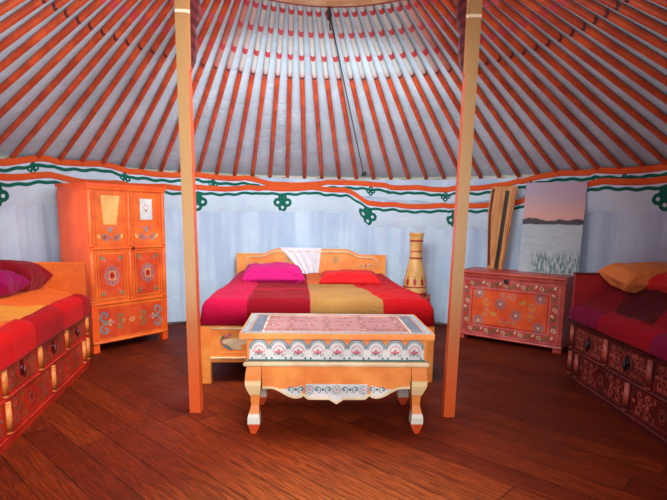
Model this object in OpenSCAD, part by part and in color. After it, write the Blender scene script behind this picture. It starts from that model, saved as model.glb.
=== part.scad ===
// Round felt house with a pole roof on two posts, furnished with beds, chests and a low table.
// Millimetres, +Z up, origin on the axis of the house at ground level, doorway towards -Y.

/* [Floor] */
// Height of the top of the floor above the ground
deck_top = 80; // [60:1:200]
// Thickness of the floor boards
board_t = 28; // [18:1:40]
// Number of joists under the boards
joist_count = 9; // [5:1:15]
// Width of a joist
joist_w = 60; // [40:1:120]

/* [Wall] */
// Radius of the inner face of the cloth lining
wall_radius = 2950; // [2000:10:4500]
// Height of the wall above the floor
wall_h = 1600; // [1300:10:2000]
// Thickness of the inner cloth lining
lining_t = 5; // [3:0.5:12]
// Thickness of the lattice, two layers of laths
lattice_t = 26; // [16:1:40]
// Width of one lath
lath_w = 32; // [20:1:50]
// Number of laths of one slant in one lattice section
lath_count = 13; // [6:1:18]
// Slant of the laths over the height, in degrees round the house
lath_turn = 27; // [10:1:40]
// Thickness of the felt and canvas cover
cover_t = 28; // [12:1:60]

/* [Doorway] */
// Clear width of the doorway
door_w = 820; // [600:10:1100]
// Width of a jamb, seen from the front
jamb_w = 90; // [50:1:160]
// Depth of the door frame through the wall
frame_depth = 150; // [90:1:250]
// Height of the door head
head_h = 90; // [50:1:160]
// Height of the top of the threshold above the floor
sill_h = 50; // [20:1:200]
// Thickness of the door leaf
leaf_t = 42; // [25:1:60]
// Angle at which the door leaf stands open
leaf_open = 112; // [60:1:170]

/* [Crown] */
// Outer radius of the crown ring
crown_radius = 900; // [500:10:1400]
// Width of the crown ring
crown_w = 120; // [60:1:180]
// Height of the crown ring
crown_h = 110; // [60:1:180]
// Height of the underside of the crown ring above the floor
crown_rise = 2630; // [2200:5:3400]
// Rise of the crown's arched spokes over the ring
dome_rise = 170; // [60:5:400]
// Number of arched bars across the crown
spoke_bars = 5; // [2:1:8]
// Size of an arched bar
spoke_w = 42; // [25:1:80]

/* [Roof] */
// Number of roof poles, a multiple of four
pole_count = 96; // [40:4:120]
// Diameter of a roof pole
pole_d = 42; // [25:1:60]
// Turn of a pole between wall and crown, in degrees
pole_skew = 9; // [0:0.5:20]
// Thickness of the white cloth over the poles
roof_lining_t = 5; // [3:0.5:12]
// Thickness of the roof felt and canvas
roof_t = 26; // [12:1:60]
// Depth of the edge that hangs over the wall
eave_drop = 100; // [40:1:200]
// Diameter of the ropes
rope_d = 16; // [8:1:30]

/* [Posts] */
// Side of a square post
post_w = 64; // [45:1:110]
// Distance of a post's foot from the axis, sideways
post_x = 757; // [400:5:1200]
// Height of the carved bracket at a post's top
bracket_h = 700; // [300:10:1000]

/* [Borders] */
// Height of the upper border cloth
border_h = 160; // [80:5:260]
// Height of the lower border
lower_h = 270; // [80:5:320]
// Drop from the upper border's top to the lower border's top
border_step = 130; // [60:5:240]
// Thickness of a border cloth
border_t = 4; // [2:0.5:8]

/* [Wardrobe] */
// Width of the wardrobe
robe_w = 726; // [500:2:1200]
// Depth of the wardrobe
robe_d = 480; // [300:10:600]
// Height of the wardrobe
robe_h = 1410; // [1200:10:1900]
// Height of its feet
robe_foot = 70; // [30:5:150]
// Height of the drawer at its foot
robe_drawer = 310; // [120:5:400]
// Height of its lower pair of doors
robe_low = 445; // [250:5:700]
// Thickness of its boards
robe_t = 20; // [12:1:30]

/* [Back bed] */
// Width of the bed at the back
bed_w = 1640; // [1200:10:2000]
// Length of the bed at the back
bed_l = 2180; // [1800:10:2300]
// Height of its rails
bed_rail = 410; // [250:5:500]
// Height of its headboard in the middle
bed_head = 820; // [600:10:1200]
// How much the headboard rises in its middle
head_rise = 60; // [0:5:150]
// Thickness of its mattress
bed_mat = 150; // [80:5:250]
// Thickness of its quilt
bed_quilt = 70; // [20:5:120]

/* [Side beds] */
// Length of a side bed
side_l = 1900; // [1700:10:2200]
// Depth of a side bed
side_d = 820; // [650:10:1100]
// Height of a side bed's base
side_h = 470; // [250:5:600]
// Height of the board at its far end
side_board = 800; // [500:10:1000]
// Number of drawer fronts in the upper row
side_cols = 4; // [2:1:8]
// Thickness of its boards
side_t = 25; // [15:1:40]
// Thickness of its quilt and mattress
side_quilt = 110; // [40:5:200]
// Drop of the quilt over the front
side_drop = 85; // [0:5:250]
// Overhang of the right bed's quilt at the front
right_drop = 45; // [0:5:250]
// Height of the left bed's pillow
left_pillow = 250; // [80:10:400]
// Height of the pillows heaped on the right bed
right_pillow = 310; // [80:10:400]

/* [Chest] */
// Width of the chest
chest_w = 980; // [600:5:1300]
// Depth of the chest
chest_d = 390; // [300:5:600]
// Height of the chest with its lid
chest_h = 680; // [400:5:900]
// Thickness of its boards
chest_t = 22; // [12:1:40]

/* [Table] */
// Width of the low table
table_w = 1020; // [700:5:1400]
// Depth of the low table
table_d = 560; // [400:5:900]
// Height of the low table
table_h = 568; // [350:2:750]
// Height of its carved band under the top
table_band = 130; // [60:5:200]
// Height of its scalloped apron
table_apron = 190; // [90:5:300]

/* [Small pieces] */
// Width of the bedside cabinet
cab_w = 320; // [250:5:500]
// Depth of the bedside cabinet
cab_d = 300; // [200:5:450]
// Height of the bedside cabinet
cab_h = 360; // [250:5:600]
// Height of the bottle vase
vase_h = 660; // [300:5:900]
// Width of the picture sheet on the chest
sheet_w = 540; // [200:5:800]
// Height of the picture sheet
sheet_h = 850; // [200:5:1000]
// Gap between pieces that rest against each other
fit = 0.3; // [0.1:0.1:1]

/* [Hidden] */
$fn = 360;
wall_top = deck_top + wall_h;
lat_in = wall_radius + lining_t + fit;
lat_out = lat_in + lattice_t;
cover_in = lat_out + fit;
cover_out = cover_in + cover_t;
crown_z = deck_top + crown_rise;
crown_mid = crown_z + crown_h / 2;
seat_r = (lat_in + lat_out) / 2;
slope_a = atan((crown_mid - wall_top - pole_d / 2) / (seat_r - crown_radius));
slope_b = atan((crown_mid - wall_top - fit - pole_d / 2 / cos(slope_a)) / (seat_r - crown_radius));
slope = atan((crown_mid - wall_top - fit - pole_d / 2 / cos(slope_b)) / (seat_r - crown_radius));
foot_r = lat_out + 10;
top_r = crown_radius - crown_w / 2;
foot_z = crown_mid - (foot_r - crown_radius) * tan(slope);
top_z = crown_mid + (crown_radius - top_r) * tan(slope);
// height of the line on top of the poles at radius r
function over(r) = crown_mid + (crown_radius - r) * tan(slope) + (pole_d / 2 + fit) / cos(slope);
frame_in = wall_radius - 70;
frame_out = frame_in + frame_depth;
jamb_x = door_w / 2 + jamb_w;
door_head = wall_top - head_h;
sill_top = deck_top + sill_h;
dome_r = (pow(crown_radius - crown_w / 2, 2) + dome_rise * dome_rise) / (2 * dome_rise);
dome_z = crown_z + crown_h + dome_rise - dome_r;
felt = [0.93, 0.92, 0.88];
cream = [0.95, 0.94, 0.9];
wood = [0.85, 0.36, 0.12];
ochre = [0.83, 0.55, 0.2];
brown = [0.38, 0.16, 0.08];
red = [0.7, 0.1, 0.12];

// box from x0,y0,z0 with size s
module box(x, y, z, s) { translate([x, y, z]) cube(s); }
// tube with radii a and b from height z
module tube(a, b, z, h) {
    translate([0, 0, z]) difference() {
        cylinder(r = b, h = h);
        translate([0, 0, -1]) cylinder(r = a, h = h + 2);
    }
}
// piece of a tube from angle s over t degrees
module arc(a, b, z, h, s, t) {
    rotate([0, 0, s]) rotate_extrude(angle = t) translate([a, z]) square([b - a, h]);
}
// half angle of the door frame, clear by w, seen at radius r
function door_a(r, w = fit) = asin((jamb_x + w) / r);
// straight bar of diameter d from p to q
module bar(p, q, d) {
    v = q - p;
    l = norm(v);
    translate(p) rotate([0, acos(v.z / l), atan2(v.y, v.x)]) cylinder(d = d, h = l, $fn = 24);
}
function polar(r, a, z) = [r * cos(a), r * sin(a), z];

module floor_boards() color(brown) difference() {
    translate([0, 0, deck_top - board_t]) cylinder(r = wall_radius + 2, h = board_t);
    box(-jamb_x - fit, -wall_radius - 10, 0, [2 * (jamb_x + fit), wall_radius + 10 - frame_in + fit, deck_top + 1]);
}
module floor_joists() color(ochre) {
    gap = 2 * (frame_in - 60) / (joist_count - 1);
    for (i = [0:joist_count - 1]) {
        y = -(frame_in - 60) + i * gap;
        half = sqrt(pow(wall_radius - 20, 2) - pow(abs(y) + joist_w / 2, 2));
        box(-half, y - joist_w / 2, 0, [2 * half, joist_w, deck_top - board_t]);
    }
}
module threshold() color(ochre)
    box(-door_w / 2, -frame_out, 0, [door_w, frame_depth, sill_top]);
module door_frame() color(wood) {
    for (s = [-1, 1]) box(s > 0 ? door_w / 2 : -jamb_x, -frame_out, 0, [jamb_w, frame_depth, door_head]);
    box(-jamb_x, -frame_out, door_head, [2 * jamb_x, frame_depth, head_h]);
}
leaf_w = door_w - 2;
leaf_h = door_head - sill_top - 4;
module door_leaf() color(wood)
    translate([-door_w / 2, -frame_out - fit, sill_top + 2]) rotate([0, 0, -leaf_open]) difference() {
        box(0, 0, 0, [leaf_w, leaf_t, leaf_h]);
        for (k = [0:2], f = [0, 1]) box(110, f * (leaf_t - 10) - (1 - f), 110 + k * (leaf_h - 100) / 3,
            [leaf_w - 220, 11, (leaf_h - 100) / 3 - 110]);
    }

// one layer of slanted laths, s = 1 or -1, between radii a and b
module laths(s, a, b, start) {
    intersection() {
        arc(a, b, 30, wall_top - 30, start + 0.2, lattice_arc - 0.4);
        for (i = [-1:lath_count]) rotate([0, 0, start + (i + 0.5) * lattice_arc / lath_count])
            translate([(a + b) / 2, 0, (wall_top + 30) / 2])
            rotate([s * atan(lath_turn * 3.1416 / 180 * seat_r / (wall_top - 30)), 0, 0])
            cube([400, lath_w, 3000], center = true);
    }
}
lattice_start = -90 + door_a(lat_in, 3);
lattice_arc = (360 - 2 * door_a(lat_in, 3)) / 4;
module lattice(i) color(ochre) union() {
    laths(1, lat_in, seat_r + 0.5, lattice_start + i * lattice_arc);
    laths(-1, seat_r - 0.5, lat_out, lattice_start + i * lattice_arc);
}
module lattice_right() lattice(0);
module lattice_back_right() lattice(1);
module lattice_back_left() lattice(2);
module lattice_left() lattice(3);

module round_door(a, b, z, h) { arc(a, b, z, h, -90 + door_a(a), 360 - 2 * door_a(a)); }
module wall_lining() color(cream)
    round_door(wall_radius, wall_radius + lining_t, deck_top + 15, wall_h - 20);
cover_arc = (360 - 2 * door_a(cover_in)) / 4;
module wall_cover(i) color(felt)
    arc(cover_in, cover_out, 0, wall_top, -90 + door_a(cover_in) + i * cover_arc + 0.003, cover_arc - 0.006);
module wall_cover_right() wall_cover(0);
module wall_cover_back_right() wall_cover(1);
module wall_cover_back_left() wall_cover(2);
module wall_cover_left() wall_cover(3);

// the straight roof poles of one quarter, starting at angle a
module poles(a) color(wood) difference() {
    for (i = [0:pole_count / 4 - 1]) {
        t = a + (i + 0.5) * 360 / pole_count;
        bar(polar(foot_r, t, foot_z), polar(top_r, t + pole_skew, top_z), pole_d);
    }
    translate([0, 0, crown_z - 200]) cylinder(r = crown_radius + fit, h = 900);
}
module poles_right() poles(-45);
module poles_back() poles(45);
module poles_left() poles(135);
module poles_front() poles(225);

module crown_ring() color(wood) tube(crown_radius - crown_w, crown_radius, crown_z, crown_h);
module crown_spokes() color(wood) {
    for (i = [0:2 * spoke_bars - 1]) rotate([90, 0, i * 180 / spoke_bars]) translate([0, 0, -spoke_w / 2])
        linear_extrude(spoke_w) intersection() {
            translate([0, dome_z]) difference() {
                circle(r = dome_r + spoke_w / 2);
                circle(r = dome_r - spoke_w / 2);
            }
            translate([70, crown_z + crown_h]) square([crown_radius - 100, 800]);
        }
    translate([0, 0, dome_z + dome_r - spoke_w / 2 - 6]) cylinder(r = 95, h = spoke_w + 6);
}

// a square post that leans out to the ring, s = -1 left, 1 right, with its scrolled bracket
post_top = crown_radius - crown_w + 15;
module post(s) color(ochre) {
    lean = atan((post_top - post_x) / crown_rise);
    b = bracket_h;
    intersection() {
        translate([s * post_x, 0, deck_top]) rotate([0, s * lean, 0]) union() {
            translate([0, 0, crown_rise / 2]) cube([post_w, post_w, crown_rise + 400], center = true);
            mirror([s > 0 ? 1 : 0, 0, 0]) translate([post_w / 2 - 4, post_w * 0.36, crown_rise]) rotate([90, 0, 0])
                linear_extrude(post_w * 0.72) polygon([[0, 30], [150, 30], [146, -0.10 * b], [128, -0.15 * b],
                    [104, -0.18 * b], [112, -0.24 * b], [108, -0.31 * b], [84, -0.36 * b], [58, -0.38 * b],
                    [66, -0.44 * b], [68, -0.52 * b], [58, -0.60 * b], [38, -0.65 * b], [46, -0.72 * b],
                    [44, -0.80 * b], [30, -0.90 * b], [12, -0.96 * b], [0, -b]]);
        }
        box(-3000, -3000, deck_top, [6000, 6000, crown_rise]);
    }
}
module post_left() post(-1);
module post_right() post(1);

// shell between the line over the poles raised by a and by b, radii r0 to r1, from angle s over t
module roof_shell(a, b, r0, r1, s, t) {
    rotate([0, 0, s]) rotate_extrude(angle = t) polygon([
        [r0, over(r0) + a], [r1, over(r1) + a], [r1, over(r1) + b], [r0, over(r0) + b]]);
}
lift = roof_lining_t / cos(slope);
skin = lift + roof_t / cos(slope);
module roof_lining() color(cream) roof_shell(0, lift, crown_radius + 30, cover_out, 0, 360);
// one canvas and felt panel of the roof, from angle s over t, starting on the crown ring
module roof_cover(s, t) color(felt) {
    e = cover_out + 14;
    c = crown_radius + 3;
    rotate([0, 0, s + 0.01]) rotate_extrude(angle = t - 0.02) polygon([
        [crown_radius - 40, crown_z + crown_h + 2], [c, crown_z + crown_h + 2], [c, over(c) + lift + fit],
        [e, over(e) + lift + fit], [e, over(e) + skin], [crown_radius - 40, over(crown_radius - 40) + skin]]);
}
// angle from the back of the roof to its side seams
seam = 76;
module roof_cover_back_right() roof_cover(90 - seam, seam);
module roof_cover_back_left() roof_cover(90, seam);
module roof_cover_front_left() roof_cover(90 + seam, 180 - seam);
module roof_cover_front_right() roof_cover(270, 180 - seam);
skirt_r = cover_out + 2;
module eave_skirt() color(felt) {
    a = door_a(skirt_r, 4);
    rotate([0, 0, -90 + a]) rotate_extrude(angle = 360 - 2 * a) polygon([
        [skirt_r, wall_top - eave_drop], [skirt_r + 6, wall_top - eave_drop],
        [skirt_r + 6, over(skirt_r + 6) + lift], [skirt_r, over(skirt_r) + lift]]);
}

flap_r = crown_radius + 330;
// height of the arched bars' upper side at radius r
function dome(r) = dome_z + sqrt(pow(dome_r + spoke_w / 2, 2) - r * r);
flap_line = [for (r = [0, 190, 380, 570, 760]) [r, dome(r) + 3],
    for (r = [crown_radius - 42, flap_r]) [r, over(r) + skin + 2]];
module crown_flap() color(felt) rotate_extrude(angle = 180) polygon(concat(
    flap_line, [for (i = [len(flap_line) - 1:-1:0]) flap_line[i] + [0, 10]]));
rope_r = cover_out + rope_d / 2 + fit;
module girth_ropes() color(ochre) {
    a = door_a(rope_r, 6);
    for (z = [0.25, 0.55, 0.83] * wall_top) translate([0, 0, z]) rotate([0, 0, -90 + a])
        rotate_extrude(angle = 360 - 2 * a) translate([rope_r, 0]) circle(d = rope_d, $fn = 24);
}
module roof_ropes() color(ochre)
    for (i = [0:7]) {
        a = 22.5 + i * 45;
        n = skin + (rope_d / 2 + fit) / cos(slope);
        bar(polar(flap_r + 40, a, over(flap_r + 40) + n), polar(cover_out + 10, a, over(cover_out + 10) + n), rope_d);
    }
module border(r, top, h) color(cream) round_door(r, r + border_t, top - h, h);
module upper_border() border(wall_radius - 24, wall_top + 10, border_h);
module lower_border() border(wall_radius - 15, wall_top + 10 - border_step, lower_h);

// dark rope tied to the ring and led down under one pole
module crown_rope() color(brown) {
    t = 82;
    d = rope_d * 0.7;
    n = -(pole_d / 2 + d / 2 + fit);
    bar([(crown_radius - 10) * cos(t + pole_skew), (crown_radius - 10) * sin(t + pole_skew), crown_z - d / 2 - fit],
        polar(foot_r - 90, t + 0.6, foot_z + 90 * tan(slope) + n / cos(slope)), d);
}

// the wardrobe: front centre faces the room, front along +X from the origin, back at +Y
robe_a = 138.9;
module at_robe() {
    translate(polar(wall_radius - robe_d - 182, robe_a, deck_top)) rotate([0, 0, robe_a - 85.3])
        translate([-robe_w / 2, 0, 0]) children();
}
stile = 42;
robe_z1 = robe_foot + robe_t;
robe_z2 = robe_z1 + robe_drawer + robe_t;
robe_z3 = robe_z2 + robe_low + robe_t;
robe_z4 = robe_h - 26 - robe_t;
door_cell = (robe_w - 3 * stile) / 2;
module wardrobe_case() color(wood) at_robe() {
    difference() {
        box(0, 0, robe_foot, [robe_w, robe_d, robe_h - robe_foot - 26]);
        for (z = [[robe_z1, robe_z2 - robe_t], [robe_z2, robe_z3 - robe_t], [robe_z3, robe_z4]])
            box(robe_t, robe_t, z[0], [robe_w - 2 * robe_t, robe_d - 2 * robe_t, z[1] - z[0]]);
        box(stile, -1, robe_z1, [robe_w - 2 * stile, robe_t + 2, robe_drawer]);
        for (x = [stile, 2 * stile + door_cell]) {
            box(x, -1, robe_z2, [door_cell, robe_t + 2, robe_low]);
            box(x, -1, robe_z3, [door_cell, robe_t + 2, robe_z4 - robe_z3]);
        }
    }
    box(-12, -12, robe_h - 26, [robe_w + 24, robe_d + 12, 26]);
    for (x = [0, robe_w - 55], y = [0, robe_d - 55]) box(x, y, 0, [55, 55, robe_foot]);
}
// a door or drawer front w wide and h high, with a sunk panel
module front(w, h, t) difference() {
    cube([w, t, h]);
    box(w * 0.12, -1, w * 0.12, [w * 0.76, 5, h - w * 0.24]);
}
module wardrobe_doors() color(ochre) at_robe() for (x = [stile, 2 * stile + door_cell]) {
    translate([x + 1.5, 1, robe_z2 + fit]) front(door_cell - 3, robe_low - 3, robe_t - 2);
    translate([x + 1.5, 1, robe_z3 + fit]) front(door_cell - 3, robe_z4 - robe_z3 - 3, robe_t - 2);
}
module wardrobe_drawer() color(ochre) at_robe() translate([stile + 1.5, 1, robe_z1 + fit]) {
    w = robe_w - 2 * stile - 3;
    difference() {
        cube([w, robe_d - 2 * robe_t - 20, robe_drawer - 3]);
        box(14, robe_t, 14, [w - 28, robe_d - 3 * robe_t - 34, robe_drawer]);
        box(w * 0.06, -1, w * 0.06, [w * 0.88, 5, robe_drawer - w * 0.12]);
    }
}

// the back bed, foot along +X at the origin, head against the wall
bed_a = 4;
bed_y = sqrt(pow(wall_radius, 2) - pow(bed_w / 2, 2)) - 90 - bed_l;
module at_bed() { rotate([0, 0, bed_a]) translate([-bed_w / 2, bed_y, deck_top]) children(); }
leg = 66;
mat_z = bed_rail + 60 - bed_mat;
module back_bed_frame() color(wood) at_bed() {
    for (x = [0, bed_w - leg]) {
        box(x, 0, 0, [leg, leg, bed_rail]);
        box(x + 18, leg, 150, [30, bed_l - 2 * leg, bed_rail - 150]);
        box(x, bed_l - leg, 0, [leg, leg, bed_head - head_rise]);
    }
    difference() {
        box(leg, 10, 150, [bed_w - 2 * leg, 40, bed_rail - 150]);
        box(leg + 50, 9, 222, [bed_w - 2 * leg - 100, 9, bed_rail - 262]);
    }
    box(leg, 2, 178, [bed_w - 2 * leg, 12, 16]);
    difference() {
        translate([bed_w / 2, bed_l - 12, 0]) rotate([90, 0, 0]) linear_extrude(36) polygon(concat(
            [[-bed_w / 2 + leg, 150], [bed_w / 2 - leg, 150], [bed_w / 2 - leg, bed_head - head_rise]],
            [for (i = [0:8]) [bed_w * (0.34 - i * 0.015), bed_head - head_rise * (0.5 + 0.5 * cos(i * 22.5))]],
            [for (i = [0:8]) [-bed_w * (0.22 + i * 0.015), bed_head - head_rise * (0.5 - 0.5 * cos(i * 22.5))]],
            [[-bed_w / 2 + leg, bed_head - head_rise]]));
        box(leg + 60, bed_l - 49, bed_head - 330, [bed_w - 2 * leg - 120, 10, 170]);
    }
    box(leg - 18, leg - 20, mat_z - 22, [bed_w - 2 * leg + 36, bed_l - 2 * leg + 20, 22]);
}
bed_in = 50;
module back_bed_mattress() color(cream) at_bed()
    box(bed_in + 2, leg + 2, mat_z, [bed_w - 2 * bed_in - 4, bed_l - 2 * leg - 6, bed_mat]);
bed_top = bed_rail + 60 + bed_quilt;
module back_bed_quilt() color(red) at_bed()
    box(bed_in - 30, leg - 40, bed_rail + 60, [bed_w - 2 * bed_in + 60, bed_l - 2 * leg + 20, bed_quilt]);
module back_bed_pillows() color([0.7, 0.1, 0.4]) at_bed()
    for (x = [130, bed_w / 2 + 60]) box(x, bed_l - 60 - 400, bed_top, [bed_w / 2 - 190, 380, 120]);
module headboard_cloth() color(cream) at_bed() difference() {
    box(bed_w * 0.30, bed_l - 53, bed_head - 250, [bed_w * 0.26, 46, 250 + 5]);
    box(bed_w * 0.30 - 1, bed_l - 49, bed_head - 251, [bed_w * 0.26 + 2, 38, 252]);
}

// a side bed: hollow base with two rows of fronts between turned posts, end board at x = 0
row_z = [60, 60 + (side_h - 100) / 2 + 10];
row_h = (side_h - 100) / 2 - 12;
upper_x = [for (i = [0:side_cols]) 22 + i * (side_l - 44) / side_cols];
lower_x = [22, 0.065 * side_l, 0.4 * side_l, 0.735 * side_l, side_l - 22];
module row(xs, z) for (i = [0:len(xs) - 2]) if (xs[i + 1] - xs[i] > 150)
    box(xs[i] + 26, -1, z + 8, [xs[i + 1] - xs[i] - 52, 9, row_h - 16]);
module side_base() {
    difference() {
        box(0, 0, 0, [side_l, side_d, side_h]);
        box(side_t, side_t, -1, [side_l - 2 * side_t, side_d - 2 * side_t, side_h - side_t + 1]);
        row(lower_x, row_z[0]);
        row(upper_x, row_z[1]);
    }
    for (x = lower_x) translate([x, 0, row_z[0]]) cylinder(r = 15, h = row_h, $fn = 24);
    for (x = upper_x) translate([x, 0, row_z[1]]) cylinder(r = 15, h = row_h, $fn = 24);
    box(-30, 0, 0, [30, side_d, side_board]);
}
side_y = wall_radius - side_d - 499;
module at_left() {
    rotate([0, 0, 190.4 - 90]) translate([side_l - 714, side_y, deck_top]) mirror([1, 0, 0]) children();
}
module at_right() { rotate([0, 0, -90]) translate([-730, side_y + 173, deck_top]) children(); }
// mattress and quilt in one, hanging a little over the front
module side_cover(drop) difference() {
    box(6, -26, side_h - drop, [side_l - 12, side_d, side_quilt + drop]);
    box(0, -16 - fit, side_h - drop - 1, [side_l, side_d, drop + 1]);
}
module side_pillow(h) box(40, 160, side_h + side_quilt, [400, 600, h]);
module left_bed_base() color(wood) at_left() side_base();
module right_bed_base() color(brown) at_right() side_base();
module left_bed_quilt() color(red) at_left() side_cover(side_drop);
module right_bed_quilt() color(red) at_right() side_cover(right_drop);
module left_bed_pillow() color(red) at_left() side_pillow(left_pillow);
module right_bed_pillow() color(wood) at_right() side_pillow(right_pillow);

// the chest, its back corner near the wall
chest_x = chest_w - 244;
chest_y = sqrt(pow(wall_radius - 17, 2) - pow(chest_x, 2)) - chest_d;
module at_chest() { rotate([0, 0, 52.2 - 90]) translate([-244, chest_y, deck_top]) children(); }
lid = 55;
module chest_body() color(wood) at_chest() {
    difference() {
        box(0, 0, 34, [chest_w, chest_d, chest_h - 34 - lid]);
        box(chest_t, chest_t, 34 + chest_t, [chest_w - 2 * chest_t, chest_d - 2 * chest_t, chest_h]);
        difference() {
            box(60, -1, 90, [chest_w - 120, 6, chest_h - lid - 150]);
            box(100, -2, 130, [chest_w - 200, 8, chest_h - lid - 230]);
        }
    }
    for (x = [0, chest_w - 70], y = [0, chest_d - 70]) box(x, y, 0, [70, 70, 34]);
}
module chest_lid() color(wood) at_chest() {
    box(-8, -8, chest_h - lid + fit, [chest_w + 16, chest_d + 8, lid - fit]);
    box(chest_w * 0.47 - 16, -14, chest_h - lid - 42, [32, 6 + 7, 60]);
}

// the low table
module at_table() { translate([70, -65, deck_top]) rotate([0, 0, 2.5]) children(); }
top_t = 30;
body_w = table_w - 70;
body_d = table_d - 70;
band_z = table_h - top_t - table_band;
module table_top() color(ochre) at_table() difference() {
    box(-table_w / 2, -table_d / 2, table_h - top_t, [table_w, table_d, top_t]);
    box(-table_w / 2 + 48, -table_d / 2 + 48, table_h - 3, [table_w - 96, table_d - 96, 4]);
}
// scalloped board of length l and height h, top at z = 0
function lobe(u) = u < 0.16 ? 0.42 : u < 0.30 ? 0.42 + 0.30 * sin((u - 0.16) / 0.14 * 90) :
    u < 0.34 ? 0.66 : u < 0.46 ? 0.80 : 0.86 + 3.5 * (u - 0.46);
module apron(l, h) rotate([90, 0, 0]) linear_extrude(20) polygon(concat([[-l / 2, 0]],
    [for (i = [0:40]) let (u = i / 80) [-l / 2 + u * l, -h * lobe(u)]],
    [for (i = [39:-1:0]) let (u = i / 80) [l / 2 - u * l, -h * lobe(u)]], [[l / 2, 0]]));
module table_body() color(wood) at_table() {
    difference() {
        box(-body_w / 2, -body_d / 2, band_z, [body_w, body_d, table_band]);
        box(-body_w / 2 + 22, -body_d / 2 + 22, band_z - 1, [body_w - 44, body_d - 44, table_band - 14]);
    }
    difference() {
        box(-body_w / 2 - 12, -body_d / 2 - 12, band_z - 24, [body_w + 24, body_d + 24, 24]);
        box(-body_w / 2 + 22, -body_d / 2 + 22, band_z - 25, [body_w - 44, body_d - 44, 26]);
    }
    for (m = [0, 1]) rotate([0, 0, m * 180]) {
        translate([0, -body_d / 2 + 22, band_z - 24]) apron(body_w - 150, table_apron);
        translate([body_w / 2 - 22, 0, band_z - 24]) rotate([0, 0, 90]) apron(body_d - 150, table_apron * 0.8);
    }
}
// outline of a curved leg: height, outer side, inner side
leg_h = band_z - 24;
leg_out = [[0, 28], [0.08, 20], [0.16, 12], [0.25, 12], [0.34, 22], [0.42, 30], [0.55, 27], [0.64, 12], [0.72, 1],
    [0.80, 0], [0.90, 4], [1, 10]];
leg_in = [[1, 85], [0.86, 85], [0.74, 84], [0.62, 80], [0.5, 74], [0.36, 72], [0.24, 76], [0.15, 78], [0.08, 70],
    [0, 54]];
leg_line = [for (q = concat(leg_out, leg_in)) [q[1], q[0] * leg_h]];
module leg_slab() translate([0, 90, 0]) rotate([90, 0, 0]) linear_extrude(91) polygon(leg_line);
module curved_leg() intersection() {
    leg_slab();
    mirror([1, -1, 0]) leg_slab();
}
module table_legs() color(wood) at_table()
    for (mx = [0, 1], my = [0, 1]) mirror([mx, 0, 0]) mirror([0, my, 0])
        translate([-body_w / 2 - 12, -body_d / 2 - 12, 0]) curved_leg();

module at_cab() {
    rotate([0, 0, bed_a]) translate([bed_w / 2 + 72, bed_y + bed_l - 487, deck_top]) rotate([0, 0, -14]) children();
}
module bedside_cabinet() color(wood) at_cab() {
    difference() {
        box(0, 0, 0, [cab_w, cab_d, cab_h - 20]);
        box(24, -1, 50, [cab_w - 48, 7, cab_h - 110]);
    }
    box(-8, -8, cab_h - 20, [cab_w + 16, cab_d + 8, 20]);
}
module vase() color(ochre) at_cab() translate([cab_w / 2, cab_d / 2, cab_h]) scale(vase_h / 660)
    rotate_extrude($fn = 60) polygon([[0, 0], [112, 0], [122, 20], [124, 60], [116, 130], [106, 200], [96, 260],
        [80, 320], [66, 380], [62, 430], [62, 520], [66, 580], [72, 630], [80, 645], [80, 660], [62, 660], [54, 600],
        [50, 520], [50, 400], [0, 380]]);
module picture_sheet() color(cream) at_chest()
    translate([chest_w - sheet_w + 30, chest_d - 118, chest_h + fit]) rotate([-5, 0, 0]) cube([sheet_w, 8, sheet_h]);
module leaning_board() color(ochre) at_chest()
    translate([chest_w * 0.1, chest_d - 60, chest_h + fit]) rotate([0, 0, -4]) rotate([-3, 0, 0]) {
        translate([0, 18, 0]) rotate([90, 0, 0]) linear_extrude(18)
            polygon([[40, 0], [200, 0], [255, 560], [285, 820], [20, 820], [0, 560]]);
        translate([120, -14, 0]) rotate([0, 4, 0]) box(0, 0, 0, [34, 14, 780]);
    }

floor_boards();
floor_joists();
threshold();
door_frame();
door_leaf();
lattice_right();
lattice_back_right();
lattice_back_left();
lattice_left();
wall_lining();
wall_cover_right();
wall_cover_back_right();
wall_cover_back_left();
wall_cover_left();
poles_right();
poles_back();
poles_left();
poles_front();
crown_ring();
crown_spokes();
post_left();
post_right();
roof_lining();
roof_cover_back_right();
roof_cover_back_left();
roof_cover_front_left();
roof_cover_front_right();
eave_skirt();
crown_flap();
girth_ropes();
roof_ropes();
crown_rope();
upper_border();
lower_border();
wardrobe_case();
wardrobe_doors();
wardrobe_drawer();
back_bed_frame();
back_bed_mattress();
back_bed_quilt();
back_bed_pillows();
headboard_cloth();
left_bed_base();
left_bed_quilt();
left_bed_pillow();
right_bed_base();
right_bed_quilt();
right_bed_pillow();
chest_body();
chest_lid();
table_top();
table_body();
table_legs();
bedside_cabinet();
vase();
picture_sheet();
leaning_board();
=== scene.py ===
# %% [markdown]
# # A furnished round felt house
# The CAD model gives every solid its place. This lesson dresses it: painted wood, hung cloth, padded bedding
# and rope. Everything is in metres, +Z up, with the doorway towards -Y. Each cell makes one thing and prints
# what it made.

# %% Load the frame
import math

import bmesh
import bpy
from mathutils import Matrix, Vector, noise


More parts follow.
